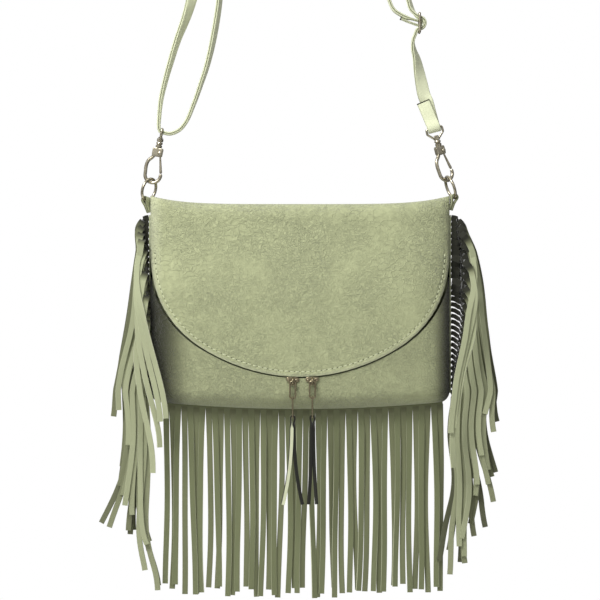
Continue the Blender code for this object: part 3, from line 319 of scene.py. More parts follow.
def surface(points, around=False, along=False, caps=False, extra=None):
    """A shape from a grid of points: rows run along it, and columns across or around it.

    around joins the last column to the first, along joins the last row to the first, and caps closes
    both ends with a fan. extra is a number for each grid point, kept as the mesh's edge attribute.
    A closed shape whose volume comes out negative has its faces turned.
    """
    rows, cols, _ = points.shape
    r = np.arange(rows if along else rows - 1)[:, None]
    c = np.arange(cols if around else cols - 1)[None, :]
    a = r * cols + c
    b = r * cols + (c + 1) % cols
    d = (r + 1) % rows * cols + c
    e = (r + 1) % rows * cols + (c + 1) % cols
    quads = np.stack([a, b, e, d], -1).reshape(-1, 4)
    flat = points.reshape(-1, 3)
    marks = np.zeros(len(flat)) if extra is None else np.asarray(extra, float).reshape(-1)
    faces = [quads]
    if caps:
        ring = np.arange(cols)
        after = (ring + 1) % cols
        top, foot = len(flat), len(flat) + 1
        last = (rows - 1) * cols
        flat = np.vstack([flat, points[0].mean(0), points[-1].mean(0)])
        marks = np.append(marks, [marks[0], marks[-1]])
        faces.append(np.stack([np.full(cols, top), after, ring], -1))
        faces.append(np.stack([np.full(cols, foot), last + ring, last + after], -1))
    if around and (along or caps) and held_volume(flat, faces) < 0:
        faces = [group[:, ::-1] for group in faces]
    return flat, faces, marks


def two_faced(outer, inner, marks=None):
    """A closed sheet: the outer grid, the inner grid, and a rim that joins their borders."""
    rows, cols, _ = outer.shape
    flat = np.vstack([outer.reshape(-1, 3), inner.reshape(-1, 3)])
    grid = np.arange(rows * cols).reshape(rows, cols)
    quads = np.stack([grid[:-1, :-1], grid[:-1, 1:], grid[1:, 1:], grid[1:, :-1]], -1).reshape(-1, 4)
    rim = np.concatenate([grid[0, :-1], grid[:-1, -1], grid[-1, :0:-1], grid[:0:-1, 0]])
    after = np.roll(rim, -1)
    shift = rows * cols
    sides = np.stack([after, rim, rim + shift, after + shift], -1)
    faces = np.vstack([quads, quads[:, ::-1] + shift, sides])
    if held_volume(flat, [faces]) < 0:
        faces = faces[:, ::-1]
    marks = np.zeros(len(flat)) if marks is None else np.concatenate([marks.reshape(-1)] * 2)
    return flat, [faces], marks


def put(name, shapes, look, body, replaced=None):
    """One mesh object from shapes, smooth but for sharp edges, on its body, with its look, hiding the part it
    replaces.
    """
    points, lists, marks, start = [], [], [], 0
    for flat, faces, mark in shapes:
        points.append(flat)
        marks.append(mark)
        lists += [group + start for group in faces]
        start += len(flat)
    points, marks = np.vstack(points), np.concatenate(marks)
    corners = np.concatenate([group.reshape(-1) for group in lists])
    sizes = np.concatenate([np.full(len(group), group.shape[1]) for group in lists])
    mesh = bpy.data.meshes.new(name)
    mesh.vertices.add(len(points))
    mesh.vertices.foreach_set("co", points.astype(np.float32).reshape(-1))
    mesh.loops.add(len(corners))
    mesh.loops.foreach_set("vertex_index", corners.astype(np.int32))
    mesh.polygons.add(len(sizes))
    mesh.polygons.foreach_set("loop_start", np.concatenate([[0], np.cumsum(sizes)[:-1]]).astype(np.int32))
    mesh.update(calc_edges=True)
    mesh.validate()
    mesh.attributes.new("edge", "FLOAT", "POINT").data.foreach_set("value", marks.astype(np.float32))
    mesh.shade_smooth()
    mesh.set_sharp_from_angle(angle=math.radians(CRISP_DEG))
    mesh.materials.append(look)
    obj = bpy.data.objects.new(name, mesh)
    bpy.context.scene.collection.objects.link(obj)
    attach(obj, body)
    if replaced:
        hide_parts(replaced)
    return obj


def put_metal(name, shapes, look, body, replaced):
    """One mesh object, made just as put makes it."""
    return put(name, shapes, look, body, replaced)


# Curves


def run_along(path):
    """Length from a path's start to each of its points."""
    return np.concatenate([[0], np.cumsum(np.linalg.norm(np.diff(path[:, :3], axis=0), axis=1))])


def read_off(read, run, path):
    """A path's columns at the lengths in read, where run is the length at each of its points."""
    return np.stack([np.interp(read, run, column) for column in path.T], -1)


def curve_through(rows, step):
    """A smooth run through rows of numbers whose first three are a place.

    Each stretch is a cubic whose end slopes are the neighbouring slopes, weighted by their lengths,
    and the result is read off at even steps of length.
    """
    rows = np.asarray(rows, float)
    gaps = np.maximum(np.linalg.norm(np.diff(rows[:, :3], axis=0), axis=1), 1e-6)
    slopes = np.diff(rows, axis=0) / gaps[:, None]
    inner = (slopes[:-1] * gaps[1:, None] + slopes[1:] * gaps[:-1, None]) / (gaps[1:] + gaps[:-1])[:, None]
    tangents = np.vstack([slopes[:1], inner, slopes[-1:]])
    share = np.linspace(0, 1, 13)[:-1, None, None]
    h = gaps[None, :, None]
    p0, p1, m0, m1 = rows[None, :-1], rows[None, 1:], tangents[None, :-1], tangents[None, 1:]
    s2, s3 = share**2, share**3
    dense = (
        (2 * s3 - 3 * s2 + 1) * p0 + (s3 - 2 * s2 + share) * h * m0
        + (3 * s2 - 2 * s3) * p1 + (s3 - s2) * h * m1
    )
    dense = np.vstack([dense.transpose(1, 0, 2).reshape(-1, rows.shape[1]), rows[-1:]])
    run = run_along(dense)
    return read_off(np.linspace(0, run[-1], max(4, int(round(run[-1] / step)) + 1)), run, dense)


def headings(path, closed=False):
    """Directions along a path, from each point's neighbours."""
    if closed:
        return unit(np.roll(path, -1, 0) - np.roll(path, 1, 0))
    return unit(np.gradient(path, axis=0))


def tube(path, normal, radius, sides=20, closed=False):
    """A round wire: circles round a path that lies square to normal; radius is one or one a point."""
    path = np.asarray(path, float)
    ahead = headings(path, closed)
    other = unit(np.cross(ahead, np.asarray(normal, float)))
    angle = np.linspace(0, 2 * math.pi, sides, endpoint=False)
    radius = np.broadcast_to(np.asarray(radius, float), len(path))[:, None, None]
    angle = angle[None, :, None]
    ring = np.cos(angle) * np.asarray(normal, float) + np.sin(angle) * other[:, None]
    return surface(path[:, None] + radius * ring, around=True, along=closed, caps=not closed)


def turned(profile, steps=40, bored=False):
    """A profile of (radius, height) turned about Z. A bored one is a closed outline off the axis."""
    profile = np.asarray(profile, float)
    angle = np.linspace(0, 2 * math.pi, steps, endpoint=False)
    radius, height = profile[:, :1], np.repeat(profile[:, 1:], steps, 1)
    points = np.stack([radius * np.cos(angle), radius * np.sin(angle), height], -1)
    return surface(points, around=True, along=bored, caps=not bored)


def upright(outline):
    """Points of (x, z) set in the plane where Y is 0."""
    return np.stack([outline[:, 0], outline[:, 0] * 0, outline[:, 1]], -1)


def round_block(size, place, power=5.0, rows=14, cols=32):
    """A block with rounded sides: each coordinate is a sine or cosine raised to 2 / power."""
    lift = np.linspace(-0.5, 0.5, rows) * math.pi
    turn = np.linspace(-1, 1, cols, endpoint=False) * math.pi

    def bent(value):
        return np.sign(value) * np.abs(value) ** (2 / power)

    x = bent(np.cos(lift))[:, None] * bent(np.cos(turn))
    y = bent(np.cos(lift))[:, None] * bent(np.sin(turn))
    z = np.repeat(bent(np.sin(lift))[:, None], cols, 1)
    points = np.stack([x, y, z], -1) * np.asarray(size) / 2 + np.asarray(place)
    return surface(points, around=True, caps=True)


def moved(shape, turn, place):
    """A shape turned by a 3 by 3 matrix and set at a place."""
    flat, faces, marks = shape
    return flat @ np.asarray(turn).T + np.asarray(place), faces, marks


def turn_about(axis, degrees):
    """The matrix that turns by degrees about X, Y or Z."""
    angle = math.radians(degrees)
    c, s = math.cos(angle), math.sin(angle)
    return np.array({
        "X": ((1, 0, 0), (0, c, -s), (0, s, c)),
        "Y": ((c, 0, s), (0, 1, 0), (-s, 0, c)),
        "Z": ((c, -s, 0), (s, c, 0), (0, 0, 1)),
    }[axis])


def square_to(ahead, across):
    """The directions of a strip's width and of its face, square to its heading."""
    side = unit(across - ahead * np.einsum("ij,ij->i", across, ahead)[:, None])
    return side, np.cross(ahead, side)


def strip(path, across, width, thick, section, marks, shade=0.0):
    """A strip along a path: the section, in half widths and half thicknesses, set square to it.

    shade, one value or one a point, is the least mark that the strip has there.
    """
    ahead = headings(path)
    side, face = square_to(ahead, across)
    half = np.broadcast_to(np.asarray(width, float) / 2, len(path))[:, None, None]
    deep = np.broadcast_to(np.asarray(thick, float) / 2, len(path))[:, None, None]
    points = path[:, None] + half * section[None, :, :1] * side[:, None]
    points = points + deep * section[None, :, 1:] * face[:, None]
    shade = np.broadcast_to(shade, len(path))[:, None]
    extra = np.where(shade > 0, np.maximum(marks[None], shade), marks[None])
    return surface(points, around=True, caps=True, extra=extra)


def plain_section(width, thick, bevel):
    """A flat strip's section with cut corners; its narrow sides are marked as raw edges."""
    b, d = bevel * 2 / width, bevel * 2 / thick
    section = np.array([(1, -1 + d), (1, 1 - d), (1 - b, 1), (0, 1), (b - 1, 1), (-1, 1 - d),
                        (-1, d - 1), (b - 1, -1), (0, -1), (1 - b, -1)])
    return section, np.array([1, 1, 0, 0, 0, 1, 1, 0, 0, 0.0])


def layered_section(width, thick):
    """A strap's section: two folded layers, with the join between them as a notch in each edge."""
    w, t = width / 2, thick / 2
    side = [(w - 0.00040, 0.0), (w - 0.00008, 0.00012), (w, 0.30 * t), (w - 0.00006, 0.62 * t),
            (w - 0.00032, 0.88 * t), (w - 0.0009, 0.985 * t), (w * 0.5, t), (0.0, t * 1.02)]
    right = np.array(side)
    left = right[::-1][1:] * (-1, 1)
    upper = np.vstack([right, left])
    lower = upper[::-1][1:-1] * (1, -1)
    section = np.vstack([upper, lower]) / (w, t)
    marks = np.where(np.abs(section[:, 0]) > 1 - 0.00041 / w, 0.35, 0.0)
    marks[np.abs(section[:, 1]) * t < 0.00020] = 1.5
    marks[np.abs(section[:, 0]) < 0.9] = 0.0
    return section, marks


# The pouch's shape


def pouch_depth(drop, front, inset, lift):
    """Depths at the side seam and at mid-width, drop below the top fold."""
    deep, top = FRONT_DEPTHS if front else BACK_DEPTHS
    grown = top + (deep - top) * smoothstep((drop - FOLD_REACH) / (LEAN_END - FOLD_REACH)) - inset
    if front:
        grown = grown + lift * smoothstep(drop / NOTCH_DROP)
    fold = grown * quarter((drop - inset) / (FOLD_REACH - inset))
    base = quarter((HEIGHT - inset - drop) / (BASE_REACH - inset))
    rim = np.minimum(SEAM, fold)
    return rim, np.maximum(rim, fold * base)


def pouch_half_width(drop, inset):
    """The pouch's half width: full, and drawn in by the round corners near the bottom."""
    corner = CORNER_RADIUS - inset
    into = np.clip((drop - (HEIGHT - CORNER_RADIUS)) / corner, 0.0, 1.0)
    return HALF_WIDTH - inset - corner * (1 - np.sqrt(1 - 0.94 * into**2))


def pouch_point(x, drop, front, inset=0.0, lift=0.0):
    """The pouch's surface: a superellipse across the width whose depth grows down from the fold."""
    share = np.clip(np.abs(x) / pouch_half_width(drop, inset), 0.0, 1.0)
    rim, centre = pouch_depth(drop, front, inset, lift)
    y = rim + (centre - rim) * np.sqrt(np.maximum(0.0, 1 - share**SIDE_EXPONENT))
    rise = CORNER_RISE * share**5 * (1 - smoothstep(drop / NOTCH_DROP))
    sag = BOTTOM_SAG * share**2 * smoothstep((drop - NOTCH_DROP) / (HEIGHT - NOTCH_DROP))
    return np.stack([x, -y if front else y, -drop + rise + sag - BAG_DROP], -1)


def flap_edge(place, offset=0.0):
    """The flap's free edge as (x, drop) at outline places from 0, mid-width, to OUTLINE_STEPS, the notch.

    Up to ARC_STEPS it is an arc, and then a Bezier curve. A positive offset lies outside the edge.
    """
    place = np.asarray(place, float)
    centre = FLAP_DROP - FLAP_RADIUS
    turn = math.radians(FLAP_ARC_DEG)
    angle = np.clip(place / ARC_STEPS, 0, 1) * turn
    offset = np.broadcast_to(offset, place.shape)
    reach = FLAP_RADIUS + offset
    arc = np.stack([reach * np.sin(angle), centre + reach * np.cos(angle)], -1)
    start = np.array([FLAP_RADIUS * math.sin(turn), centre + FLAP_RADIUS * math.cos(turn)])
    end = np.array([HALF_WIDTH, NOTCH_DROP])
    near = start + CORNER_HANDLES[0] * np.array([math.cos(turn), -math.sin(turn)])
    far = end + CORNER_HANDLES[1] * np.array([0.0, 1.0])
    step = np.clip((place - ARC_STEPS) / (OUTLINE_STEPS - ARC_STEPS), 0, 1)[..., None]
    rest = 1 - step
    bend = rest**3 * start + 3 * rest**2 * step * near + 3 * rest * step**2 * far + step**3 * end
    slope = 3 * rest**2 * (near - start) + 6 * rest * step * (far - near) + 3 * step**2 * (end - far)
    outwards = unit(np.stack([-slope[..., 1], slope[..., 0]], -1))
    return np.where((place <= ARC_STEPS)[..., None], arc, bend + offset[..., None] * outwards)


def whole_edge(offset, reach, step):
    """The free edge from left to right as even steps of (x, drop), up to an outline place of reach."""
    places = np.linspace(-reach, reach, 1201)
    line = flap_edge(np.abs(places), offset)
    line[:, 0] *= np.sign(places)
    run = run_along(line)
    return read_off(np.linspace(0, run[-1], max(2, int(round(run[-1] / step)) + 1)), run, line)


def from_edge(x, drop):
    """Distance of each (x, drop) from the flap's free edge."""
    line = whole_edge(0.0, OUTLINE_STEPS, 0.0012)
    flat = np.stack([x, drop], -1).reshape(-1, 2)
    nearest = np.empty(len(flat))
    for start in range(0, len(flat), 4000):
        part = flat[start:start + 4000]
        nearest[start:start + 4000] = np.sqrt(((part[:, None] - line[None]) ** 2).sum(-1)).min(1)
    return nearest.reshape(np.shape(x))


def grid_normals(points):
    """Unit normals of a grid, from its differences along rows and columns."""
    return unit(np.cross(np.gradient(points, axis=1), np.gradient(points, axis=0)) + 1e-15)


# Materials


def node(tree, kind, inputs=None, **settings):
    """A node with its settings, and each input given a value or linked to a socket."""
    made = tree.nodes.new(kind)
    for key, value in settings.items():
        setattr(made, key, value)
    for key, value in (inputs or {}).items():
        if isinstance(value, bpy.types.NodeSocket):
            tree.links.new(value, made.inputs[key])
        else:
            made.inputs[key].default_value = value
    return made


def group(name, inputs, outputs):
    """An empty shader node group with float or vector sockets, and its ends."""
    tree = bpy.data.node_groups.new(name, "ShaderNodeTree")
    kinds = {"F": "NodeSocketFloat", "V": "NodeSocketVector"}
    for way, sockets in (("INPUT", inputs), ("OUTPUT", outputs)):
        for label, kind in sockets:
            tree.interface.new_socket(label, in_out=way, socket_type=kinds[kind])
    return tree, tree.nodes.new("NodeGroupInput").outputs, tree.nodes.new("NodeGroupOutput").inputs


def worked(tree, operation, first, second, **settings):
    """The result of a sum on values or sockets."""
    return node(tree, "ShaderNodeMath", {0: first, 1: second}, operation=operation, **settings).outputs[0]


def noise(tree, vector, scale, detail=2.0, roughness=0.5):
    """The outputs of a noise texture."""
    given = {"Vector": vector, "Scale": scale, "Detail": detail, "Roughness": roughness}
    return node(tree, "ShaderNodeTexNoise", given).outputs


def mapped(tree, value, start, end, low=0.0, high=1.0, **settings):
    """A value from start to end mapped to low and high."""
    given = {"Value": value, "From Min": start, "From Max": end, "To Min": low, "To Max": high}
    return node(tree, "ShaderNodeMapRange", given, **settings).outputs[0]


def spread(tree, value, low, high):
    """A noise's usual values mapped to low and high."""
    return mapped(tree, value, 0.3, 0.7, low, high)


def mix(tree, share, first, second, blend="MIX"):
    """A colour mix; share, first and second are values or sockets."""
    given = {0: share, 6: first, 7: second}
    return node(tree, "ShaderNodeMix", given, data_type="RGBA", blend_type=blend).outputs[2]


def bumped(tree, height, strength, distance, normal=None):
    """A normal raised by a height, over another normal if there is one."""
    given = {"Height": height, "Strength": strength, "Distance": distance}
    if normal:
        given["Normal"] = normal
    return node(tree, "ShaderNodeBump", given).outputs[0]


def nap_group():
    """Napped suede: a fine fibre height, and a tone that drifts over the hide."""
    found = bpy.data.node_groups.get("suede_nap")
    if found:
        return found
    tree, given, out = group("suede_nap", [("Vector", "V"), ("Fibre Scale", "F"), ("Drift Scale", "F")],
                             [("Height", "F"), ("Tone", "F")])
    fibre = noise(tree, given["Vector"], given["Fibre Scale"], 4.0, 0.6)["Fac"]
    drift = noise(tree, given["Vector"], given["Drift Scale"], 3.0, 0.55)["Fac"]
    tree.links.new(fibre, out["Height"])
    tree.links.new(worked(tree, "MULTIPLY", worked(tree, "ADD", fibre, drift), 0.5), out["Tone"])
    return tree


def crease_group():
    """A net of fine wrinkles: pale ridges between warped cells of two sizes, in drifting patches."""
    found = bpy.data.node_groups.get("crease_net")
    if found:
        return found
    tree, given, out = group("crease_net", [("Vector", "V"), ("Scale", "F")],
                             [("Height", "F"), ("Line", "F")])

    def moved_by(operation, vector, other, key=1):
        made = node(tree, "ShaderNodeVectorMath", {0: vector, key: other}, operation=operation)
        return made.outputs[0]

    warp = noise(tree, given["Vector"], 120.0, 4.0, 0.6)["Color"]
    pushed = moved_by("SCALE", moved_by("SUBTRACT", warp, (0.5, 0.5, 0.5)), 0.011, "Scale")
    wide = moved_by("MULTIPLY", moved_by("ADD", given["Vector"], pushed), (0.7, 1.0, 1.15))
    lines = []
    for number, (factor, reach) in enumerate(((1.0, 0.10), (2.3, 0.14))):
        cells = node(tree, "ShaderNodeTexVoronoi",
                     {"Vector": wide, "Scale": worked(tree, "MULTIPLY", given["Scale"], factor)},
                     feature="DISTANCE_TO_EDGE")
        valley = mapped(tree, cells.outputs["Distance"], 0.0, reach, interpolation_type="SMOOTHSTEP")
        place = moved_by("ADD", given["Vector"], (number * 3.0, 0.0, 1.0))
        keep = mapped(tree, noise(tree, place, 24.0, 3.0)["Fac"], 0.33, 0.60)
        lines.append(worked(tree, "MULTIPLY", worked(tree, "SUBTRACT", 1.0, valley), keep))
    net = worked(tree, "MAXIMUM", *lines)
    tree.links.new(net, out["Height"])
    tree.links.new(net, out["Line"])
    return tree


def new_material(name):
    """A material with its tree, its shader and the object's own coordinates."""
    made = bpy.data.materials.new(name)
    made.use_nodes = True
    tree = made.node_tree
    return made, tree, tree.nodes["Principled BSDF"], tree.nodes.new("ShaderNodeTexCoord").outputs["Object"]


def dress(tree, shader, colour, roughness, normal, **plain):
    """Link or set the shader's colour, roughness and normal, and set its plain values by name."""
    tree.links.new(colour, shader.inputs["Base Color"])
    tree.links.new(normal, shader.inputs["Normal"])
    if isinstance(roughness, float):
        shader.inputs["Roughness"].default_value = roughness
    else:
        tree.links.new(roughness, shader.inputs["Roughness"])
    for name, value in plain.items():
        shader.inputs[name.replace("_", " ")].default_value = value


def suede(name, colour, edge_and_shade_colour, creased=0.0, fibre=900.0, sheen=0.30):
    """Suede whose marks in the mesh darken raw edges, and also paint shade and highlight: paler below 0,
    towards the edge colour up to 1, towards near black from 1 to 2.
    """
    made, tree, shader, place = new_material(name)
    nap = node(tree, "ShaderNodeGroup", {"Vector": place, "Fibre Scale": fibre, "Drift Scale": 38.0},
               node_tree=nap_group())
    tone = spread(tree, nap.outputs["Tone"], 0.95, 1.05)
    colour = (*colour, 1.0)
    shaded = mix(tree, 1.0, colour, tone, "MULTIPLY")
    normal = bumped(tree, nap.outputs["Height"], 0.35, 0.00025)
    if creased:
        net = node(tree, "ShaderNodeGroup", {"Vector": place, "Scale": 190.0}, node_tree=crease_group())
        paler = tuple(min(1.0, value * 1.20) for value in colour[:3]) + (1.0,)
        shaded = mix(tree, worked(tree, "MULTIPLY", net.outputs["Line"], 0.80 * creased), shaded, paler)
        mottle = noise(tree, place, 260.0, 3.0, 0.6)["Fac"]
        shaded = mix(tree, creased, shaded, spread(tree, mottle, 0.88, 1.10), "MULTIPLY")
        normal = bumped(tree, mottle, 0.40 * creased, 0.0010, normal)
        normal = bumped(tree, net.outputs["Height"], 0.85 * creased, 0.0007, normal)
    mark = node(tree, "ShaderNodeAttribute", attribute_name="edge").outputs["Fac"]
    # The marks mix in painted highlight and painted shade, as well as worn, cut and inked edges
    for operation, value, tint in (("MULTIPLY", -0.6, PALE_NAP), ("ADD", 0.0, (*edge_and_shade_colour, 1.0)),
                                   ("SUBTRACT", 1.0, DARK_NAP)):
        shaded = mix(tree, worked(tree, operation, mark, value, use_clamp=True), shaded, tint)
    rough = spread(tree, nap.outputs["Height"], 0.78, 0.92)
    dress(tree, shader, shaded, rough, normal,
          Sheen_Weight=sheen, Sheen_Roughness=0.45, Specular_IOR_Level=0.3)
    return made


def antique_brass(name, colour, tarnish):
    """Brushed brass, darkened in drifting patches, with fine scratches."""
    made, tree, shader, place = new_material(name)
    patch = noise(tree, place, 320.0, 4.0, 0.65)["Fac"]
    shaded = mix(tree, spread(tree, patch, 0.05, 0.85), (*colour, 1.0), (*tarnish, 1.0))
    normal = bumped(tree, noise(tree, place, 2600.0)["Fac"], 0.15, 0.00005)
    dress(tree, shader, shaded, spread(tree, patch, 0.16, 0.36), normal, Metallic=1.0)
    return made


def woven_tape(name, colour):
    """Narrow twill tape: two crossed waves on the object's coordinates."""
    made, tree, shader, place = new_material(name)
    waves = [node(tree, "ShaderNodeTexWave", {"Vector": place, "Scale": 420.0, "Distortion": 0.6},
                  bands_direction=axis).outputs["Fac"] for axis in "XZ"]
    woven = worked(tree, "MULTIPLY", *waves)
    dark = tuple(value * 0.55 for value in colour) + (1.0,)
    dress(tree, shader, mix(tree, woven, dark, (*colour, 1.0)), 0.85, bumped(tree, woven, 0.6, 0.0002))
    return made


def plain_look(name, colour, roughness):
    """A matt finish whose tone drifts a little, with a fine grain."""
    made, tree, shader, place = new_material(name)
    grain = noise(tree, place, 900.0, 3.0)["Fac"]
    shaded = mix(tree, 1.0, (*colour, 1.0), spread(tree, grain, 0.88, 1.12), "MULTIPLY")
    dress(tree, shader, shaded, roughness, bumped(tree, grain, 0.2, 0.0001))
    return made


# Panels and zip


def flap_rows(inset, shares):
    """The back and flap panel's grid: up the back, over the fold, down the front, to the free edge."""
    bend = np.linspace(0, 0.5 * math.pi, 9)
    base, fold = BASE_REACH - inset, FOLD_REACH - inset
    back = list(HEIGHT - inset - base * (1 - np.cos(bend)))
    back += list(np.linspace(HEIGHT - BASE_REACH, FOLD_REACH * 1.1, 26)[1:])
    back += list(inset + fold * (1 - np.sin(bend)))
    front = list(inset + fold * (1 - np.cos(bend[1:]))) + list(np.linspace(FOLD_REACH, NOTCH_DROP, 9)[1:])
    grids, drops_all = [], []
    for drops, faces_front in ((back, False), (front, True)):
        drops = np.array(drops)[:, None] * np.ones_like(shares)
        x = shares * pouch_half_width(drops, inset)
        grids.append(pouch_point(x, drops, faces_front, inset, FLAP_LIFT))
        drops_all.append(drops if faces_front else drops * 0 - 1)
    steps = np.concatenate([np.linspace(0, 0.86, 26)[1:], 0.86 + 0.14 * np.linspace(0, 1, 23)[1:]])[:, None]
    edge = flap_edge(edge_places(shares))
    edge_x = edge[..., 0] * np.sign(shares)
    top_x = shares * pouch_half_width(np.float64(NOTCH_DROP), inset)
    x = top_x + (edge_x * (1 - inset / HALF_WIDTH) - top_x) * steps
    drop = NOTCH_DROP + (edge[..., 1] - NOTCH_DROP) * steps
    grids.append(pouch_point(x, drop, True, inset, FLAP_LIFT))
    drops_all.append(drop)
    return np.vstack(grids), np.vstack(drops_all)


def side_shares(count):
    """Shares of the half width from left to right, closer together towards the sides."""
    return np.sin(np.linspace(-0.5 * math.pi, 0.5 * math.pi, count))


def edge_places(shares):
    """Outline places of the free edge for shares of the half width."""
    return np.arcsin(np.abs(shares)) / (0.5 * math.pi) * OUTLINE_STEPS


def hollows(points, drop, seed, depth):
    """How far a panel's face stands proud: broad soft hills, less near the seams."""
    flat = points[..., [0, 2]]
    calm = smoothstep((HALF_WIDTH - np.abs(points[..., 0])) / 0.018) * smoothstep(drop / 0.02)
    return depth * calm * (soft_noise(flat, 0.075, seed) + 0.5 * soft_noise(flat, 0.032, seed + 1))


def flap_relief(points, drop, sizes):
    """The flap's own relief: soft hills, a groove along the stitches and a rounded turned edge."""
    far = from_edge(points[..., 0], drop)
    on_front = (drop > 0) & (points[..., 1] < 0)
    near_edge = smoothstep((drop - NOTCH_DROP + 0.004) / 0.008)
    groove = -0.00030 * np.exp(-(((far - sizes.stitch_inset) / 0.0006) ** 2)) * near_edge
    fold = smoothstep(1 - np.abs(far - sizes.stitch_inset * 0.45) / (sizes.stitch_inset * 0.5))
    hem = 0.00045 * fold * near_edge
    lip = -0.00055 * (1 - quarter(far / 0.0011)) * near_edge
    return np.where(on_front, hollows(points, drop, 3, sizes.hollow_depth) + groove + hem + lip, 0.0)


def stitch_row(line, length, radius, lift, face):
    """Stitches along a line of (x, drop): each a thread that rises from one hole and dips to the next.

    Returns thread shapes, and at each end a small dark blob of painted shade in the hole.
    """
    threads, holes = [], []
    spots = face(line[:, 0], line[:, 1])
    outward = np.array([0.0, -1.0, 0.0])
    for first, second in zip(spots[:-1], spots[1:]):
        along = second - first
        pace = np.linalg.norm(along)
        share = np.linspace(0.5 - length / pace / 2, 0.5 + length / pace / 2, 9)[:, None]
        rise = np.sin(np.linspace(0, math.pi, 9))[:, None] * lift - radius * 0.6
        path = first + along * share + outward * rise
        path = path + np.cross(outward, unit(along)) * (share - 0.5) * pace * 0.10
        slim = radius * np.array([0.7, 0.95, 1, 1, 1, 1, 1, 0.95, 0.7])
        threads.append(tube(path, unit(np.cross(unit(along), outward)), slim, 8))
        hole = (radius * 3.0, radius * 1.6, radius * 2.4)
        holes.append(round_block(hole, first - outward * radius * 0.35, 2.0, 6, 10))
    return threads, holes


class BAG_OT_panels(bpy.types.Operator):
    """Back panel with its flap, lower front panel and their stitching"""

    bl_idname = "bag.panels"
    bl_label = "Panels"

    def execute(self, context):
        sizes, colours = context.scene.bag_sizes, context.scene.bag_colours
        look = suede("panel_nap", colours.panel, colours.raw_edge_and_shade, creased=1.0)
        shares = side_shares(241)
        outer, drop = flap_rows(0.0, shares)
        inner, _ = flap_rows(PANEL, shares)
        normal = grid_normals(outer)
        normal *= np.where((normal[..., 1] > 0) == (outer[..., 1] > 0), 1, -1)[..., None]
        outer = outer + normal * flap_relief(outer, drop, sizes)[..., None]
        lip = from_edge(outer[..., 0], drop)
        worn = (1 - smoothstep((lip - 0.0004) / 0.0026)) * (drop > NOTCH_DROP) * (outer[..., 1] < 0)
        # Painted highlight: paler near the left side seam on the front, where the light from the upper left
        # falls
        lit = (outer[..., 0] < 0) & (outer[..., 1] < 0)
        painted_side_highlight = SIDE_HIGHLIGHT * lit * (1 - smoothstep((HALF_WIDTH - np.abs(outer[..., 0]) - 0.002) / 0.010))
        panel = [two_faced(outer, inner, -np.maximum(WORN_LIP * worn, painted_side_highlight))]
        flap = put("back_flap", panel, look, "bag", "back_flap_panel")

        layers = []
        for inset in (0.0, PANEL):
            place = edge_places(shares)
            edge = flap_edge(place, SLIT * (0.50 + 0.35 * smoothstep((place - 4) / 4)))
            edge_x = edge[..., 0] * np.sign(shares)
            low = HEIGHT - inset
            steps = np.linspace(0, 1, 56)[:, None]
            drop = low + (edge[..., 1] - low) * (1 - np.cos(steps * 0.5 * math.pi))
            reach = pouch_half_width(drop, inset)
            x = shares * reach + (np.clip(edge_x, -reach, reach) - shares * reach) * steps
            layers.append(pouch_point(x, drop, True, inset))
            if not inset:
                calm = smoothstep((HEIGHT - drop) / 0.02)
                hills = hollows(layers[0], drop, 11, sizes.hollow_depth * 1.3) * calm
                layers[0][..., 1] -= hills
                seam = HALF_WIDTH - np.abs(x)
                left = LEFT_SHADE[0] * (1 - smoothstep((seam - LEFT_SHADE[1]) / LEFT_SHADE[2]))
                right = RIGHT_SHADE[0] * (1 - smoothstep(seam / RIGHT_SHADE[1]))
                dim = FRONT_SHADE + np.where(x < 0, left, right)
        front = put("lower_front", [two_faced(*layers, dim)], look, "bag", "front_panel")

        def on_flap(x, drop):
            places = pouch_point(x, drop, True, 0.0, FLAP_LIFT)
            relief = hollows(places, drop, 3, sizes.hollow_depth) - 0.0003
            places[..., 1] -= relief
            return places

        line = whole_edge(-sizes.stitch_inset, OUTLINE_STEPS - STITCH_END, sizes.stitch_pitch)
        stitch = sizes.stitch_pitch * STITCH_SHARE
        threads, holes = stitch_row(line, stitch, sizes.thread_radius, STITCH_LIFT, on_flap)
        yarn = suede("thread", colours.thread, colours.thread, fibre=2500.0)
        put("flap_stitches", threads, yarn, "bag")
        put("stitch_holes", holes, plain_look("hole_shade", colours.hole, 0.95), "bag")
        return {"FINISHED"}


def tape_shape(near, far, level):
    """A flat tape along the zip between two offsets from the flap's edge, level under the pouch's face."""
    places = np.linspace(-ZIP_REACH, ZIP_REACH, 260)
    layers = []
    for depth in (level, level + TAPE):
        lines = [flap_edge(np.abs(places), near + (far - near) * share) for share in np.linspace(0, 1, 7)]
        rows = [pouch_point(line[:, 0] * np.sign(places), line[:, 1], True, depth) for line in lines]
        layers.append(np.stack(rows))
    return two_faced(*layers)


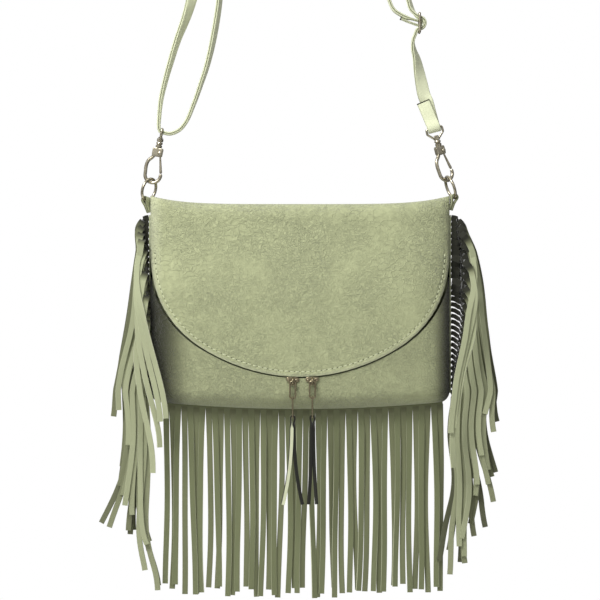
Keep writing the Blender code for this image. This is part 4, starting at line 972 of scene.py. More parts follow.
class BAG_OT_zip(bpy.types.Operator):
    """Both zip tapes and the closed coil behind the slit"""

    bl_idname = "bag.zip"
    bl_label = "Zip"

    def execute(self, context):
        colours = context.scene.bag_colours
        cloth = woven_tape("twill_tape", colours.tape)
        upper = PANEL - FLAP_LIFT + TAPE_SEAT
        lower = PANEL + TAPE_SEAT
        middle = SLIT / 2
        for name, near, far, level in (("upper", -TAPE_WIDTH, middle - GAP / 2, upper),
                                       ("lower", middle + GAP / 2, TAPE_WIDTH, lower)):
            put(f"tape_{name}", [tape_shape(near, far, level)], cloth, "bag", f"zip_tape_{name}")
        coil = lower + TAPE + TAPE_SEAT
        offsets = (middle, middle - COIL_WIDTH / 2, middle + COIL_WIDTH / 2)
        lines = [whole_edge(offset, ZIP_REACH, COIL_PITCH) for offset in offsets]
        place = np.linspace(0, 1, min(map(len, lines)))
        near, far = (read_off(place, np.linspace(0, 1, len(line)), line) for line in lines[1:])
        teeth = []
        for a, b in zip(near, far):
            run = a + (b - a) * np.linspace(0.04, 0.96, 5)[:, None]
            path = pouch_point(run[:, 0], run[:, 1], True, coil + COIL_HEIGHT / 2)
            teeth.append(tube(path, ALONG_Y, 0.00048 * np.array([0.7, 1, 1, 1, 0.7]), 6))
        put("coil_teeth", teeth, plain_look("coil", colours.coil, 0.45), "bag", "zip_coil")
        return {"FINISHED"}


# Hardware


def oblong(half, length, corner, count):
    """A closed outline of straight sides and round corners, hanging from its top at (0, 0)."""
    points = []
    low = corner - length
    for turn, (side, level) in enumerate(((1, -corner), (-1, -corner), (-1, low), (1, low))):
        angle = np.radians(np.linspace(90.0 * turn, 90.0 * turn + 90.0, count))
        x = side * (half - corner)
        points.append(np.stack([x + corner * np.cos(angle), level + corner * np.sin(angle)], -1))
    outline = np.vstack(points)
    keep = np.linalg.norm(np.diff(outline, axis=0, append=outline[:1]), axis=1) > 1e-6
    return outline[keep]


def even_loop(path, step):
    """A closed polyline read off at even steps."""
    path = np.vstack([path, path[:1]])
    run = run_along(path)
    return read_off(np.linspace(0, run[-1], int(run[-1] / step) + 1)[:-1], run, path)


class BAG_OT_pulls(bpy.types.Operator):
    """Both zip sliders with their rings, long links and suede tabs"""

    bl_idname = "bag.pulls"
    bl_label = "Zip pulls"

    def execute(self, context):
        colours = context.scene.bag_colours
        metal = antique_brass("dull_brass", colours.dull_brass, colours.tarnish)
        tab_look = suede("tab_nap", colours.strap, colours.dark_edge, fibre=1200.0)
        for side in SIDES:
            angle = math.radians(SLIDER_ANGLES_DEG[side])
            reach = RUN_RADIUS - SLIT / 2 + GAP + SLIDER_HEIGHT / 2
            centre = RUN_RADIUS - FLAP_DROP - SLIT / 2 - BAG_DROP
            y = -FRONT_DEPTHS[0] - GAP - SLIDER_PLATE
            place = np.array([reach * math.sin(angle), y, centre - reach * math.cos(angle)])
            turn = turn_about("Y", -math.degrees(angle))
            long, flat, tall = SLIDER_LENGTH, SLIDER_PLATE, SLIDER_HEIGHT
            keel_deep = PANEL - FLAP_LIFT + GAP + flat / 2
            keel_place = (0, flat / 2 + keel_deep / 2, tall / 2 + GAP - SLIT / 2)
            blocks = (
                ((long, flat, tall * 0.56), (0, flat / 2, tall * 0.2), 4.0),
                ((long * 0.62, flat, tall), (0, flat / 2, 0), 3.2),
                ((long * 0.30, flat * 1.5, tall * 0.34), (-long * 0.30, flat * 0.4, tall * 0.16), 2.6),
                ((long * 0.30, flat * 1.5, tall * 0.34), (long * 0.30, flat * 0.4, tall * 0.16), 2.6),
                ((KEEL[0], keel_deep, KEEL[1]), keel_place, 6.0),
            )
            body = [round_block(*block) for block in blocks]
            step = np.linspace(0, math.pi, 22)
            arch = np.stack([step * 0, -BAIL_REACH * np.sin(step), BAIL_HALF * np.cos(step)], -1)
            arch = np.vstack([(0, flat / 3, BAIL_HALF), arch, (0, flat / 3, -BAIL_HALF)])
            body.append(tube(arch, ALONG_X, BAIL_RADIUS, 16))
            body = [moved(shape, turn, place) for shape in body]
            put_metal(f"slider_body_{side}", body, metal, f"slider_{side}", f"slider_{side}")

            pivot = place + (0, -PULL_OFFSET, 0)
            half, length, wire = PULL_RING
            outline = even_loop(oblong(half, length, half * 0.96, 12), 0.0004)
            wires = [tube(upright(outline) + pivot, ALONG_Y, wire, 18, closed=True)]
            put_metal(f"oval_ring_{side}", wires, metal, f"pull_ring_{side}", f"pull_ring_{side}")
            half, link_length, link_wire = LINK
            outline = even_loop(oblong(half, link_length, LINK_CORNER, 6), 0.0003)
            hinge = pivot - (0, 0, length)
            path = np.stack([outline[:, 0] * 0, outline[:, 0], outline[:, 1] + LINK_TOP], -1) + hinge
            wires = [tube(path, ALONG_X, link_wire, 16, closed=True)]
            put_metal(f"long_link_{side}", wires, metal, f"pull_link_{side}", f"pull_link_{side}")
            self.tab(side, hinge + (0, 0, LINK_TOP - link_length), link_wire, tab_look)
        return {"FINISHED"}

    def tab(self, side, place, link_wire, look):
        """A strip folded over the link, its tails parting as a power of the share of their length."""
        loop = link_wire + GAP + TAB_THICKNESS / 2
        rest = (TAB_THICKNESS + GAP) / 2
        low = -TAB_STRAIGHT
        spreads = TAB_SPREAD[side]
        share = np.linspace(0, 1, 26)

        def tail(sign, far):
            x = rest + (far - rest) * share**2.2
            return np.stack([sign * x, share * 0, low - (TAB_LENGTH + low) * share], -1)

        angle = np.radians(np.linspace(180, 0, 15))
        over = np.stack([loop * np.cos(angle), angle * 0, loop * np.sin(angle)], -1)
        rows = np.vstack([tail(-1, spreads[0])[::-1], over, tail(1, spreads[1])]) + place
        path = curve_through(rows, 0.0008)
        section, marks = plain_section(TAB_WIDTH, TAB_THICKNESS, STRAND_BEVEL)
        down = (place[2] - path[:, 2]) / TAB_LENGTH
        first = np.arange(len(path)) < len(path) / 2
        turn = np.where(first, *TAB_TURN[side]) * smoothstep((down - 0.02) / 0.12)
        across = np.stack([np.sin(turn), np.cos(turn), 0 * turn], -1)
        path[:, 1] += np.where(first, -TAB_STAGGER, TAB_STAGGER) * smoothstep((down - 0.02) / 0.12)
        dark = np.where(first & (side == "left"), 0.0, INKED * smoothstep((down + 0.04) / 0.05))
        tails = [strip(path, across, TAB_WIDTH, TAB_THICKNESS, section, marks * INKED, dark)]
        put(f"suede_tab_{side}", tails, look, f"pull_tab_{side}", f"pull_tab_{side}")


def lean_direction(degrees):
    """Up, leaning by degrees towards X."""
    turn = math.radians(degrees)
    return np.array([math.sin(turn), 0.0, math.cos(turn)])


def ring_foot(side):
    """Where the ring stands on its tab."""
    return np.array([RING_FOOT[side][0], 0.0, RING_FOOT[side][1] - BAG_DROP])


def eye_base(side):
    """The swivel's plane on the hook's axis."""
    up = lean_direction(RING_LEAN_DEG[side])
    foot = ring_foot(side) + up * (2 * RING_RADIUS - RING_WIRE - HOOK_WIRE - GAP)
    return foot + lean_direction(HOOK_LEAN_DEG[side]) * HOOK_LENGTH


def eye_bar(side):
    """Where the strap passes the eye."""
    return eye_base(side) + lean_direction(HOOK_LEAN_DEG[side]) * EYE_HEIGHT


class BAG_OT_hooks(bpy.types.Operator):
    """Rings, ring tabs, snap hooks with their gates and rivets, strap eyes and the buckle"""

    bl_idname = "bag.hooks"
    bl_label = "Rings, hooks and buckle"

    def execute(self, context):
        colours = context.scene.bag_colours
        metal = antique_brass("worn_brass", colours.brass, colours.tarnish)
        tab_look = suede("ring_tab_nap", colours.panel, colours.raw_edge_and_shade, fibre=1200.0)
        for side in SIDES:
            self.ring(side, metal)
            self.ring_tab(side, tab_look)
            place = eye_base(side)
            stand = turn_about("Y", HOOK_LEAN_DEG[side])
            self.eye(side, place, stand @ turn_about("Z", EYE_TURN_DEG[side]), metal)
            self.hook(side, place, stand @ turn_about("Z", HOOK_TURN_DEG[side]), metal)
        self.buckle(metal)
        return {"FINISHED"}

    def ring(self, side, metal):
        """A torus: a wire circle carried round a circle that stands on the tab."""
        lean = turn_about("Y", RING_LEAN_DEG[side])
        normal = lean @ turn_about("Z", -RING_TURN_DEG[side]) @ np.array([1.0, 0.0, 0.0])
        level = np.cross(normal, lean[:, 2])
        centre = ring_foot(side) + lean[:, 2] * RING_RADIUS
        angle = np.linspace(0, 2 * math.pi, 72, endpoint=False)[:, None]
        path = centre + RING_RADIUS * (np.cos(angle) * lean[:, 2] + np.sin(angle) * level)
        wires = [tube(path, normal, RING_WIRE, 20, closed=True)]
        put_metal(f"round_ring_{side}", wires, metal, f"ring_{side}", f"ring_{side}")

    def ring_tab(self, side, look):
        """A suede loop round the ring's foot whose ends meet at the side seam."""
        foot = ring_foot(side)
        turn, lean = math.radians(RING_TURN_DEG[side]), math.radians(RING_LEAN_DEG[side])
        curve = RING_TAB_WIDTH**2 / (8 * RING_RADIUS)
        loop = RING_WIRE + GAP + curve / 2 + RING_TAB / 2
        rest = (RING_TAB + GAP) / 2
        skew = RING_TAB_TAIL_WIDTH / 2 * abs(math.sin(turn))
        seam_x = SIDES[side] * (HALF_WIDTH + RING_TAB * 0.45 + skew)
        end = np.array([seam_x, 0.0, foot[2] - RING_TAB_DROP])
        top = foot + lean_direction(RING_LEAN_DEG[side]) * curve / 2
        level = np.array([math.sin(turn) * math.cos(lean), math.cos(turn), -math.sin(turn) * math.sin(lean)])
        down = unit(end - top)
        down = unit(down - level * level.dot(down))
        away = np.cross(down, level)
        angle = np.radians(np.linspace(-20.0, 200.0, 17))[:, None]
        over = top + away * loop * np.cos(angle) - down * loop * np.sin(angle)
        middle = end * 0.45 + top * 0.55
        out, bulge = away * rest, away * rest * 1.25
        rows = np.vstack([end + out, middle + bulge, over, middle - bulge, end - out])
        wide = np.full((len(rows), 1), RING_TAB_WIDTH)
        wide[0] = wide[-1] = RING_TAB_TAIL_WIDTH
        run = curve_through(np.hstack([rows, wide]), 0.0005)
        section, marks = plain_section(RING_TAB_WIDTH, RING_TAB, 0.0002)
        across = np.repeat(level[None], len(run), 0)
        loops = [strip(run[:, :3], across, run[:, 3], RING_TAB, section, marks)]
        put(f"ring_loop_{side}", loops, look, "bag", f"ring_tab_{side}")

    def eye(self, side, place, turn, metal):
        """A wire frame with round corners on a bored boss."""
        half = STRAP_WIDTH / 2 + GAP + EYE_WIRE
        straight = EYE_HEIGHT - (EYE_WIRE + 2 * GAP + STRAP)
        foot = EYE_BOSS_RADIUS - EYE_WIRE / 2
        corner, near = EYE_CORNER, EYE_CORNER * 0.3
        rows = [(half - corner, EYE_HEIGHT), (half - near, EYE_HEIGHT - near), (half, EYE_HEIGHT - corner),
                (half, straight), (foot, 0.0004)]
        rows += [(-x, z) for x, z in reversed(rows)]
        path = even_loop(upright(np.array(rows)), 0.0003)
        for _ in range(3):
            path = (np.roll(path, 1, 0) + 2 * path + np.roll(path, -1, 0)) / 4
        shapes = [tube(path, ALONG_Y, EYE_WIRE, 16, closed=True)]
        low, high = EYE_BOSS
        wall = EYE_BOSS_RADIUS
        bore = POST_RADIUS + GAP
        shapes.append(turned([(bore, high), (wall * 0.86, high), (wall, high - 0.0004), (wall, low + 0.0004),
                              (wall * 0.86, low), (bore, low)], 36, bored=True))
        shapes = [moved(shape, turn, place) for shape in shapes]
        put_metal(f"strap_eye_{side}", shapes, metal, "bag", f"hook_eye_{side}")

    def hook(self, side, place, turn, metal):
        """A headed post, a grooved collar, a slotted body and a tapering bow, with gate and rivet."""
        collar_top = EYE_BOSS[0] - GAP
        foot = collar_top - COLLAR_LENGTH
        head = EYE_BOSS[1] + GAP
        slim = COLLAR_RADIUS * 0.86
        width, deep, tall = HOOK_BODY
        body_top = foot + GAP
        knob = POST_HEAD_RADIUS
        post = [(0.0002, head + POST_HEAD), (knob * 0.6, head + POST_HEAD * 0.95),
                (knob, head + POST_HEAD * 0.5), (knob, head + 0.0001), (knob - 0.0001, head),
                (POST_RADIUS, head), (POST_RADIUS, collar_top), (slim, collar_top)]
        grooves = ((COLLAR_RADIUS, 0.12), (COLLAR_RADIUS, 0.30), (slim * 0.86, 0.38), (slim * 0.86, 0.46),
                   (COLLAR_RADIUS * 0.98, 0.54), (COLLAR_RADIUS * 0.98, 0.74))
        collar = [(radius, collar_top - COLLAR_LENGTH * share) for radius, share in grooves]
        neck = [(slim, foot), (slim * 0.9, foot - 0.0010), (0.0002, foot - 0.0011)]
        shapes = [turned(post + collar + neck)]
        slot_deep = GATE_EYE + 2 * GAP
        slot_left = GATE_PIVOT[0] - GATE_EYE_RADIUS - GAP
        cheek = (deep - slot_deep) / 2
        height = body_top - tall / 2
        middle = (slot_left - width / 2) / 2
        shapes.append(round_block((slot_left + width / 2, deep, tall), (middle, 0, height), 5.0))
        for face in (-1, 1):
            shapes.append(round_block((width, cheek, tall), (0, face * (slot_deep + cheek) / 2, height), 6.0))
        crest = tall - (body_top - (GATE_PIVOT[1] + GATE_EYE_RADIUS + GAP))
        cap = tall - crest
        shapes.append(round_block((width * 0.96, deep * 0.96, cap), (0, 0, body_top - cap / 2), 6.0))
        start = body_top - tall * 0.75
        centre = -HOOK_LENGTH + HOOK_HALF
        angle = np.radians(np.linspace(180, 360, 15))
        bend = np.stack([HOOK_HALF * np.cos(angle), centre + HOOK_HALF * np.sin(angle)], -1)
        route = np.vstack([
            [(-width * 0.22, start), (-width * 0.34, start - 0.0020), (-HOOK_HALF * 0.95, start - 0.0062)],
            bend, [(GATE_TIP[0], GATE_TIP[1] - GAP * 1.5)],
        ])
        path = curve_through(upright(route), 0.0005)
        size = np.full(len(path), HOOK_WIRE)
        size[:3] *= 0.9
        size[-3:] *= (0.98, 0.9, 0.6)
        shapes.append(tube(path, ALONG_Y, size, 20))
        shapes = [moved(shape, turn, place) for shape in shapes]
        put_metal(f"snap_hook_{side}", shapes, metal, f"hook_{side}", f"hook_body_{side}")

        pivot = place + turn @ np.array([GATE_PIVOT[0], 0.0, GATE_PIVOT[1]])
        lying = turn @ turn_about("X", 90)
        half = GATE_EYE / 2
        bore = RIVET_RADIUS + GAP * 0.6
        wall = GATE_EYE_RADIUS
        ring = turned([(bore, half), (wall * 0.9, half), (wall, half * 0.7), (wall, -half * 0.7),
                       (wall * 0.9, -half), (bore, -half)], 32, bored=True)
        tip = np.array([GATE_TIP[0] - GATE_PIVOT[0], 0.0, GATE_TIP[1] - GATE_PIVOT[1]])
        share = np.linspace(0, 1, 14)[:, None]
        path = unit(tip) * 0.0010 + (tip - unit(tip) * 0.0010) * share
        size = half * 0.9 + (HOOK_WIRE * 0.85 - half * 0.9) * np.linspace(0, 1, 14)
        size[-1] *= 0.75
        gate = [moved(ring, lying, pivot), moved(tube(path, ALONG_Y, size, 16), turn, pivot)]
        put_metal(f"spring_gate_{side}", gate, metal, f"hook_gate_{side}", f"hook_gate_{side}")
        head, rim = HOOK_BODY[1] / 2 + GAP, RIVET_HEAD_RADIUS
        dome = ((0.0002, 1.0), (rim * 0.6, 0.94), (rim * 0.9, 0.6), (rim, 0.2), (rim, 0.0),
                (RIVET_RADIUS, 0.0))
        upper = [(radius, head + RIVET_HEAD * share) for radius, share in dome]
        rivet = turned(upper + [(radius, -level) for radius, level in reversed(upper)], 28)
        rivet = [moved(rivet, lying, pivot)]
        put_metal(f"gate_rivet_{side}", rivet, metal, f"hook_{side}", f"hook_rivet_{side}")

    def buckle(self, metal):
        """A wire frame with round corners and a middle bar."""
        x, z = BUCKLE_PLACE
        half = STRAP_WIDTH / 2 + GAP + BUCKLE_WIRE
        outline = oblong(half, 2 * BUCKLE_PITCH, BUCKLE_CORNER, 6)
        frame_line = np.stack([outline[:, 0] * 0 + x, outline[:, 0], outline[:, 1] + BUCKLE_PITCH + z], -1)
        bar = np.stack([np.full(12, x), np.linspace(-half, half, 12), np.full(12, z)], -1)
        shapes = [tube(even_loop(frame_line, 0.0004), ALONG_X, BUCKLE_WIRE, 18, closed=True),
                  tube(bar, ALONG_X, BUCKLE_WIRE * 0.98, 16)]
        put_metal("strap_buckle", shapes, metal, "bag", "adjuster_buckle")


# Strap


def strap_twist(run, z):
    """Direction of the strap's width at height z, turned from Y as far as that run is twisted."""
    high, low = STRAP_TWIST_DEG[run]
    angle = math.radians(np.interp(-z, -np.array(TWIST_SPAN), [0.0, high, low, 0.0]))
    return math.sin(angle), math.cos(angle), 0.0


def strap_rows():
    """The strap's points, each with the direction of its width, its width and its thickness."""
    rows = []

    def add(x, y, z, across=ALONG_Y, thick=STRAP):
        rows.append((x, y, z, *across, STRAP_WIDTH, thick))

    def through(points, twisted=None, start=(0.0, 0.0)):
        for x, z in np.array(points) + start:
            add(x, 0.0, z, strap_twist(twisted, z) if twisted else ALONG_Y)

    def arc(centre, radius, start, end, count, thick=STRAP):
        for angle in np.radians(np.linspace(start, end, count)):
            add(centre[0] + radius * math.cos(angle), 0.0, centre[1] + radius * math.sin(angle), thick=thick)

    bar = eye_bar("right")
    up = lean_direction(HOOK_LEAN_DEG["right"])
    level = np.array([up[2], 0.0, -up[0]])
    close = (STRAP + GAP) / 2
    loop = EYE_WIRE + GAP + STRAP / 2

    def by_eye(along, y, skew=0.0):
        place = bar + up * along - level * skew * along / SEWN_END
        add(place[0], y, place[2], level)

    for along in (SEWN_END, SEWN_END * 0.65, SEWN_END * 0.32):
        by_eye(along, -close, SEWN_SKEW)
    for angle in np.radians(np.linspace(200.0, 340.0, 7)):
        by_eye(loop * math.sin(angle), loop * math.cos(angle))
    for along in (SEWN_END * 0.32, SEWN_END * 0.65, SEWN_END):
        by_eye(along, close)
    climb = [(bar[0] + x, bar[2] + z) for x, z in RIGHT_EYE_OFF] + TO_BUCKLE
    for index, (x, z) in enumerate(climb):
        share = (index + 1) / len(climb)
        add(x, close * (1 - share), z, tuple((1 - share) * level + share * np.array(ALONG_Y)))
    bx, bz = BUCKLE_PLACE
    near = BUCKLE_WIRE + GAP + STRAP / 2
    wide = BUCKLE_WIRE + 2 * GAP + STRAP_SKIVED + STRAP / 2
    tangent = 90.0 - math.degrees(math.asin((near + wide) / BUCKLE_PITCH))
    arc((bx, bz - BUCKLE_PITCH), near, 175.0, 90.0 + tangent, 5)
    arc((bx, bz), wide, -90.0 + tangent, 90.0 - tangent, 7)
    arc((bx, bz + BUCKLE_PITCH), near, -90.0 - tangent, -140.0, 3)
    crown = (0.0, -CROWN_RADIUS * math.cos(math.radians(CROWN_STEP_DEG / 2)))
    through(TO_CROWN, "right_up")
    arc(crown, CROWN_RADIUS + GAP + 1.5 * STRAP, 4.5, 175.5, 20)
    through(TO_HOOK, "left_down")
    bar = eye_bar("left")[[0, 2]]
    through(LEFT_EYE_ON, "left_down", bar)
    arc(bar, loop, 185.0, 275.0, 5)
    through(LEFT_EYE_OFF, "left_up", bar)
    through(FROM_HOOK, "left_up")
    arc(crown, CROWN_RADIUS + STRAP / 2, 175.5, 4.5, 20)
    through(FROM_CROWN)
    skived = BUCKLE_WIRE + GAP + STRAP_SKIVED / 2
    for index, (back, rise) in enumerate(TAIL_OVER):
        add(bx - back, 0.0, bz + rise, thick=STRAP_SKIVED if index == 2 else STRAP)
    arc((bx, bz), skived, 110.0, -110.0, 9, STRAP_SKIVED)
    for back, rise in TAIL_UNDER:
        add(bx - back, 0.0, bz + rise, thick=STRAP_SKIVED)
    return np.array(rows)


class BAG_OT_strap(bpy.types.Operator):
    """The long strap, in two folded layers, with its dark cut ends"""

    bl_idname = "bag.strap"
    bl_label = "Strap"

    def execute(self, context):
        colours = context.scene.bag_colours
        run = curve_through(strap_rows(), 0.0016)
        section, marks = layered_section(STRAP_WIDTH, STRAP)
        band_shape = strip(run[:, :3], run[:, 3:6], run[:, 6], run[:, 7], section, marks)
        look = suede("strap_nap", colours.strap, colours.strap_edge, fibre=1100.0, creased=0.15)
        put("long_strap", [band_shape], look, "bag", "strap")
        ends = []
        section, _ = plain_section(STRAP_WIDTH, STRAP, 0.0003)
        for start, after in ((run[0], run[1]), (run[-1], run[-2])):
            ahead = unit(start[:3] - after[:3])
            spots = start[:3] + ahead * np.linspace(-0.0004, 0.0005, 4)[:, None]
            across = np.repeat(start[None, 3:6], 4, 0)
            width, thick = start[6] * END_COVER[0], start[7] * END_COVER[1]
            ends.append(strip(spots, across, width, thick, section, np.zeros(len(section))))
        put("strap_cut_ends", ends, plain_look("cut_end", colours.dark_edge, 0.9), "bag")
        return {"FINISHED"}


# Fringe


def bottom_line(x):
    """Height of the bottom seam at x."""
    return -HEIGHT + BOTTOM_SAG * (abs(x) / HALF_WIDTH) ** 2


def strand_shape(path, across, twist, width, shade):
    """One cut strand: a flat strip that turns by twist radians about its own line."""
    ahead = headings(path)
    side, face = square_to(ahead, across)
    turned_side = side * np.cos(twist)[:, None] + face * np.sin(twist)[:, None]
    section, marks = plain_section(STRAND_WIDTH, STRAND, STRAND_BEVEL)
    return strip(path, turned_side, width, STRAND, section, marks * PALE_EDGE, shade)


def bundle_inner(side, drop):
    """How far from the side seam the hanging bundle's inner side lies, drop below the top fold."""
    drops, reaches = zip(*BUNDLE[side])
    soft = [np.interp(drop + shift, drops, reaches) for shift in (-0.012, -0.006, 0.0, 0.006, 0.012)]
    return np.mean(soft, axis=0)


def column_step(side, drop):
    """The bundle's growth for each strand passed: even at first, and wider where the ends part."""
    most, start, end = SIDE_SPREAD
    return SIDE_COLUMN / SIDE_LAYERS[side] * (1 + (most - 1) * smoothstep((drop - start) / (end - start)))


class BAG_OT_fringe(bpy.types.Operator):
    """The strands cut along both sides and the bottom, on the bands sewn into the seams"""

    bl_idname = "bag.fringe"
    bl_label = "Fringe"

    def execute(self, context):
        sizes, colours = context.scene.bag_sizes, context.scene.bag_colours
        look = suede("fringe_nap", colours.fringe, colours.raw_edge_and_shade, fibre=1000.0, sheen=0.25)
        # The bottom strands take a darker copy of the fringe suede: painted shade below the pouch
        shaded_fringe_look = suede("low_fringe_nap", colours.shaded_fringe, colours.raw_edge_and_shade, fibre=1000.0, sheen=0.2)
        pitch = STRAND_WIDTH + STRAND_GAP
        for side, sign in SIDES.items():
            shapes = [self.side_strand(index, side, pitch, sizes) for index in range(SIDE_STRANDS)]
            low = SIDE_FIRST + (SIDE_STRANDS - 1) * pitch + STRAND_WIDTH / 2
            height = np.linspace(-SIDE_FIRST + STRAND_WIDTH / 2, -low, 60)
            reaches = sign * (HALF_WIDTH - BAND_INSIDE), sign * (HALF_WIDTH + BAND_OUTSIDE)
            shapes.append(self.band(*(np.stack([np.full(60, x), height], -1) for x in reaches)))
            fringe = put(f"side_fringe_{side}", shapes, look, "bag", f"fringe_{side}")
            self.lay_flat(fringe, SIDE_STRANDS, pitch, SIDE_LENGTH, SIDE_FILL)
        shapes = [self.bottom_strand(index, sizes) for index in range(BOTTOM_STRANDS)]
        first = -(BOTTOM_STRANDS - 1) / 2 * BOTTOM_PITCH + BOTTOM_SHIFT - STRAND_WIDTH / 2
        x = np.linspace(first, first + (BOTTOM_STRANDS - 1) * BOTTOM_PITCH + STRAND_WIDTH, 80)
        levels = bottom_line(x) + BAND_INSIDE, bottom_line(x) - BAND_OUTSIDE
        shapes.append(self.band(*(np.stack([x, level], -1) for level in levels)))
        fringe = put("under_fringe", shapes, shaded_fringe_look, "bag", "fringe_bottom")
        self.lay_flat(fringe, BOTTOM_STRANDS, BOTTOM_PITCH, BOTTOM_LENGTH, BOTTOM_FILL)
        return {"FINISHED"}

    def lay_flat(self, fringe, count, pitch, length, filled):
        """Does nothing: the fringe's flat size is not stated, and none of the arguments is used."""

    def band(self, inner, outer):
        """The uncut band between two lines of (x, height)."""
        share = np.linspace(0, 1, 4)[:, None, None]
        flat = inner[None] + (outer - inner)[None] * share
        faces = []
        for y in (-STRAND / 2, STRAND / 2):
            faces.append(np.stack([flat[..., 0], np.full(flat.shape[:2], y), flat[..., 1] - BAG_DROP], -1))
        return two_faced(*faces)

    def side_strand(self, index, side, pitch, sizes):
        """Out from the seam on a quarter circle, over the strands below, and down with a soft sway."""
        sign = SIDES[side]
        chance = random.Random(500 + 40 * sign + index)
        root = SIDE_FIRST + index * pitch
        length = SIDE_LENGTH + chance.uniform(*SIDE_CUT)
        place = index * 2 % SIDE_LAYERS[side]
        layer = -(SIDE_FIRST_LAYER + SIDE_LAYER_STEP * place)
        below = SIDE_STRANDS - 1 - index
        flick = chance.uniform(-SIDE_FLICK, SIDE_FLICK)
        sway = chance.uniform(-1, 1) * sizes.strand_sway
        phase = chance.uniform(0, 2 * math.pi)
        curl = chance.uniform(-1.0, 0.35) * sizes.strand_curl
        twist = chance.uniform(-1, 1) * sizes.strand_twist
        turn_down = SIDE_TURN * (1.0 if sign < 0 else 1.0 + 0.9 * float(smoothstep((index - 5) / 7)))
        drop = np.concatenate([[0, 0.0006], turn_down * np.linspace(0.14, 0.9, 6),
                               np.linspace(turn_down, length, 34)])
        passed = np.minimum(drop / pitch, below)
        hang = bundle_inner(side, root + drop) + column_step(side, root + drop) * passed
        close = smoothstep((root + drop - 0.020) / 0.02) * (1 - smoothstep((root + drop - 0.10) / 0.05))
        hang = hang - ROOT_PULL[side] * close * (1 - np.minimum(passed / 24, 1.0))
        hang = hang + FLARE[side] * smoothstep((root + drop - 0.05) / 0.11) * np.minimum(passed / 20, 1.0)
        share = drop / length
        hang = hang + flick * share**3 + curl * share**5
        hang = hang + sway * np.sin(share * 9 + phase) * smoothstep(share * 3)
        out = hang * quarter(drop / turn_down)
        deep = layer * smoothstep(drop / SIDE_TURN * 1.6)
        if index in OVER_STRANDS[side]:
            rank, inwards = OVER_STRANDS[side][index]
            near = bundle_inner(side, root + drop) + OVER_FIRST + OVER_STEP * rank
            near = near - min(0.0, ROOT_PULL[side]) * close
            out = out + (near - out) * smoothstep((drop - 0.012) / 0.055) - inwards * smoothstep(share) ** 2.5
            front = -OVER_DEPTH - OVER_LAYER * (4 - rank)
            deep = deep + (front - deep) * smoothstep((root + drop - 0.02) / 0.07)
        out = out + STRAYS[side].get(index, 0.0) * share**4
        path = np.stack([sign * (HALF_WIDTH + BAND_OUTSIDE + out), deep, -root - drop - BAG_DROP], -1)
        run = headings(path * (1, 0, 1))
        across = np.stack([run[:, 2] * sign, run[:, 0] * 0, -run[:, 0] * sign], -1)
        across[:3] = (0.0, 0.0, 1.0)
        high = float(smoothstep((16 - index) / 5))
        slim = ROOT_WIDTH[side] + (ROOT_FULL - ROOT_WIDTH[side]) * high
        bend = smoothstep(drop / 0.0012) * (1 - smoothstep((drop - 0.006) / 0.006)) * high
        grown = slim + (STRAND_FULL - slim) * smoothstep((drop - 0.004) / 0.016)
        width = STRAND_WIDTH * (grown + ROOT_BEND * bend)
        # Painted shade: strands further back in the bundle are darker; the strands laid in front keep their
        # pale edges
        behind = 1 - place / (SIDE_LAYERS[side] - 1)
        tone = 0.0 if index in OVER_STRANDS[side] else BEHIND_SHADE[0] + BEHIND_SHADE[1] * behind
        shade = np.maximum(DEEP_SHADE * (1 - smoothstep((drop - DARK_RUN[side]) / DARK_FADE)), tone)
        twist = twist * smoothstep((share - 0.05) / 0.5) * np.sin(share * 4 + phase)
        return strand_shape(path, across, twist, width, shade)

    def bottom_strand(self, index, sizes):
        """Straight down from the seam, with a bow, a drift and a slow turn."""
        chance = random.Random(100 + index)
        x = (index - (BOTTOM_STRANDS - 1) / 2) * BOTTOM_PITCH + BOTTOM_SHIFT
        start = bottom_line(x) - BAND_OUTSIDE
        length = BOTTOM_LENGTH + chance.uniform(*BOTTOM_CUT)
        drift = chance.uniform(-BOTTOM_DRIFT, BOTTOM_DRIFT)
        bow = chance.uniform(-BOTTOM_BOW, BOTTOM_BOW)
        twist = chance.uniform(-1, 1) * sizes.strand_twist
        phase = chance.uniform(0, 2 * math.pi)
        layer = BOTTOM_LAYER if index % 2 else -BOTTOM_LAYER
        share = np.linspace(0, 1, 40)
        side = drift * share**2 + bow * np.sin(math.pi * share)
        side = side + sizes.strand_sway * 0.5 * np.sin(share * 7 + phase) * share
        side = side + sizes.strand_clump * share**1.4 * math.sin(index * 1.9 + 0.8 * math.sin(index * 0.7))
        deep = layer * smoothstep(share * 5)
        path = np.stack([x + side, deep, start - length * share - BAG_DROP + 0.0006], -1)
        across = np.repeat([[1.0, 0.0, 0.0]], len(path), 0)
        width = STRAND_WIDTH * (1.18 - 0.13 * smoothstep(share / chance.uniform(0.15, 0.5)))
        shade = BOTTOM_SHADE[0] * (layer > 0) + BOTTOM_SHADE[1] * (1 - smoothstep(share / 0.09))
        twist = twist * smoothstep(share / 0.5) * np.sin(share * 3 + phase)
        return strand_shape(path, across, twist, width, shade)


# Stage


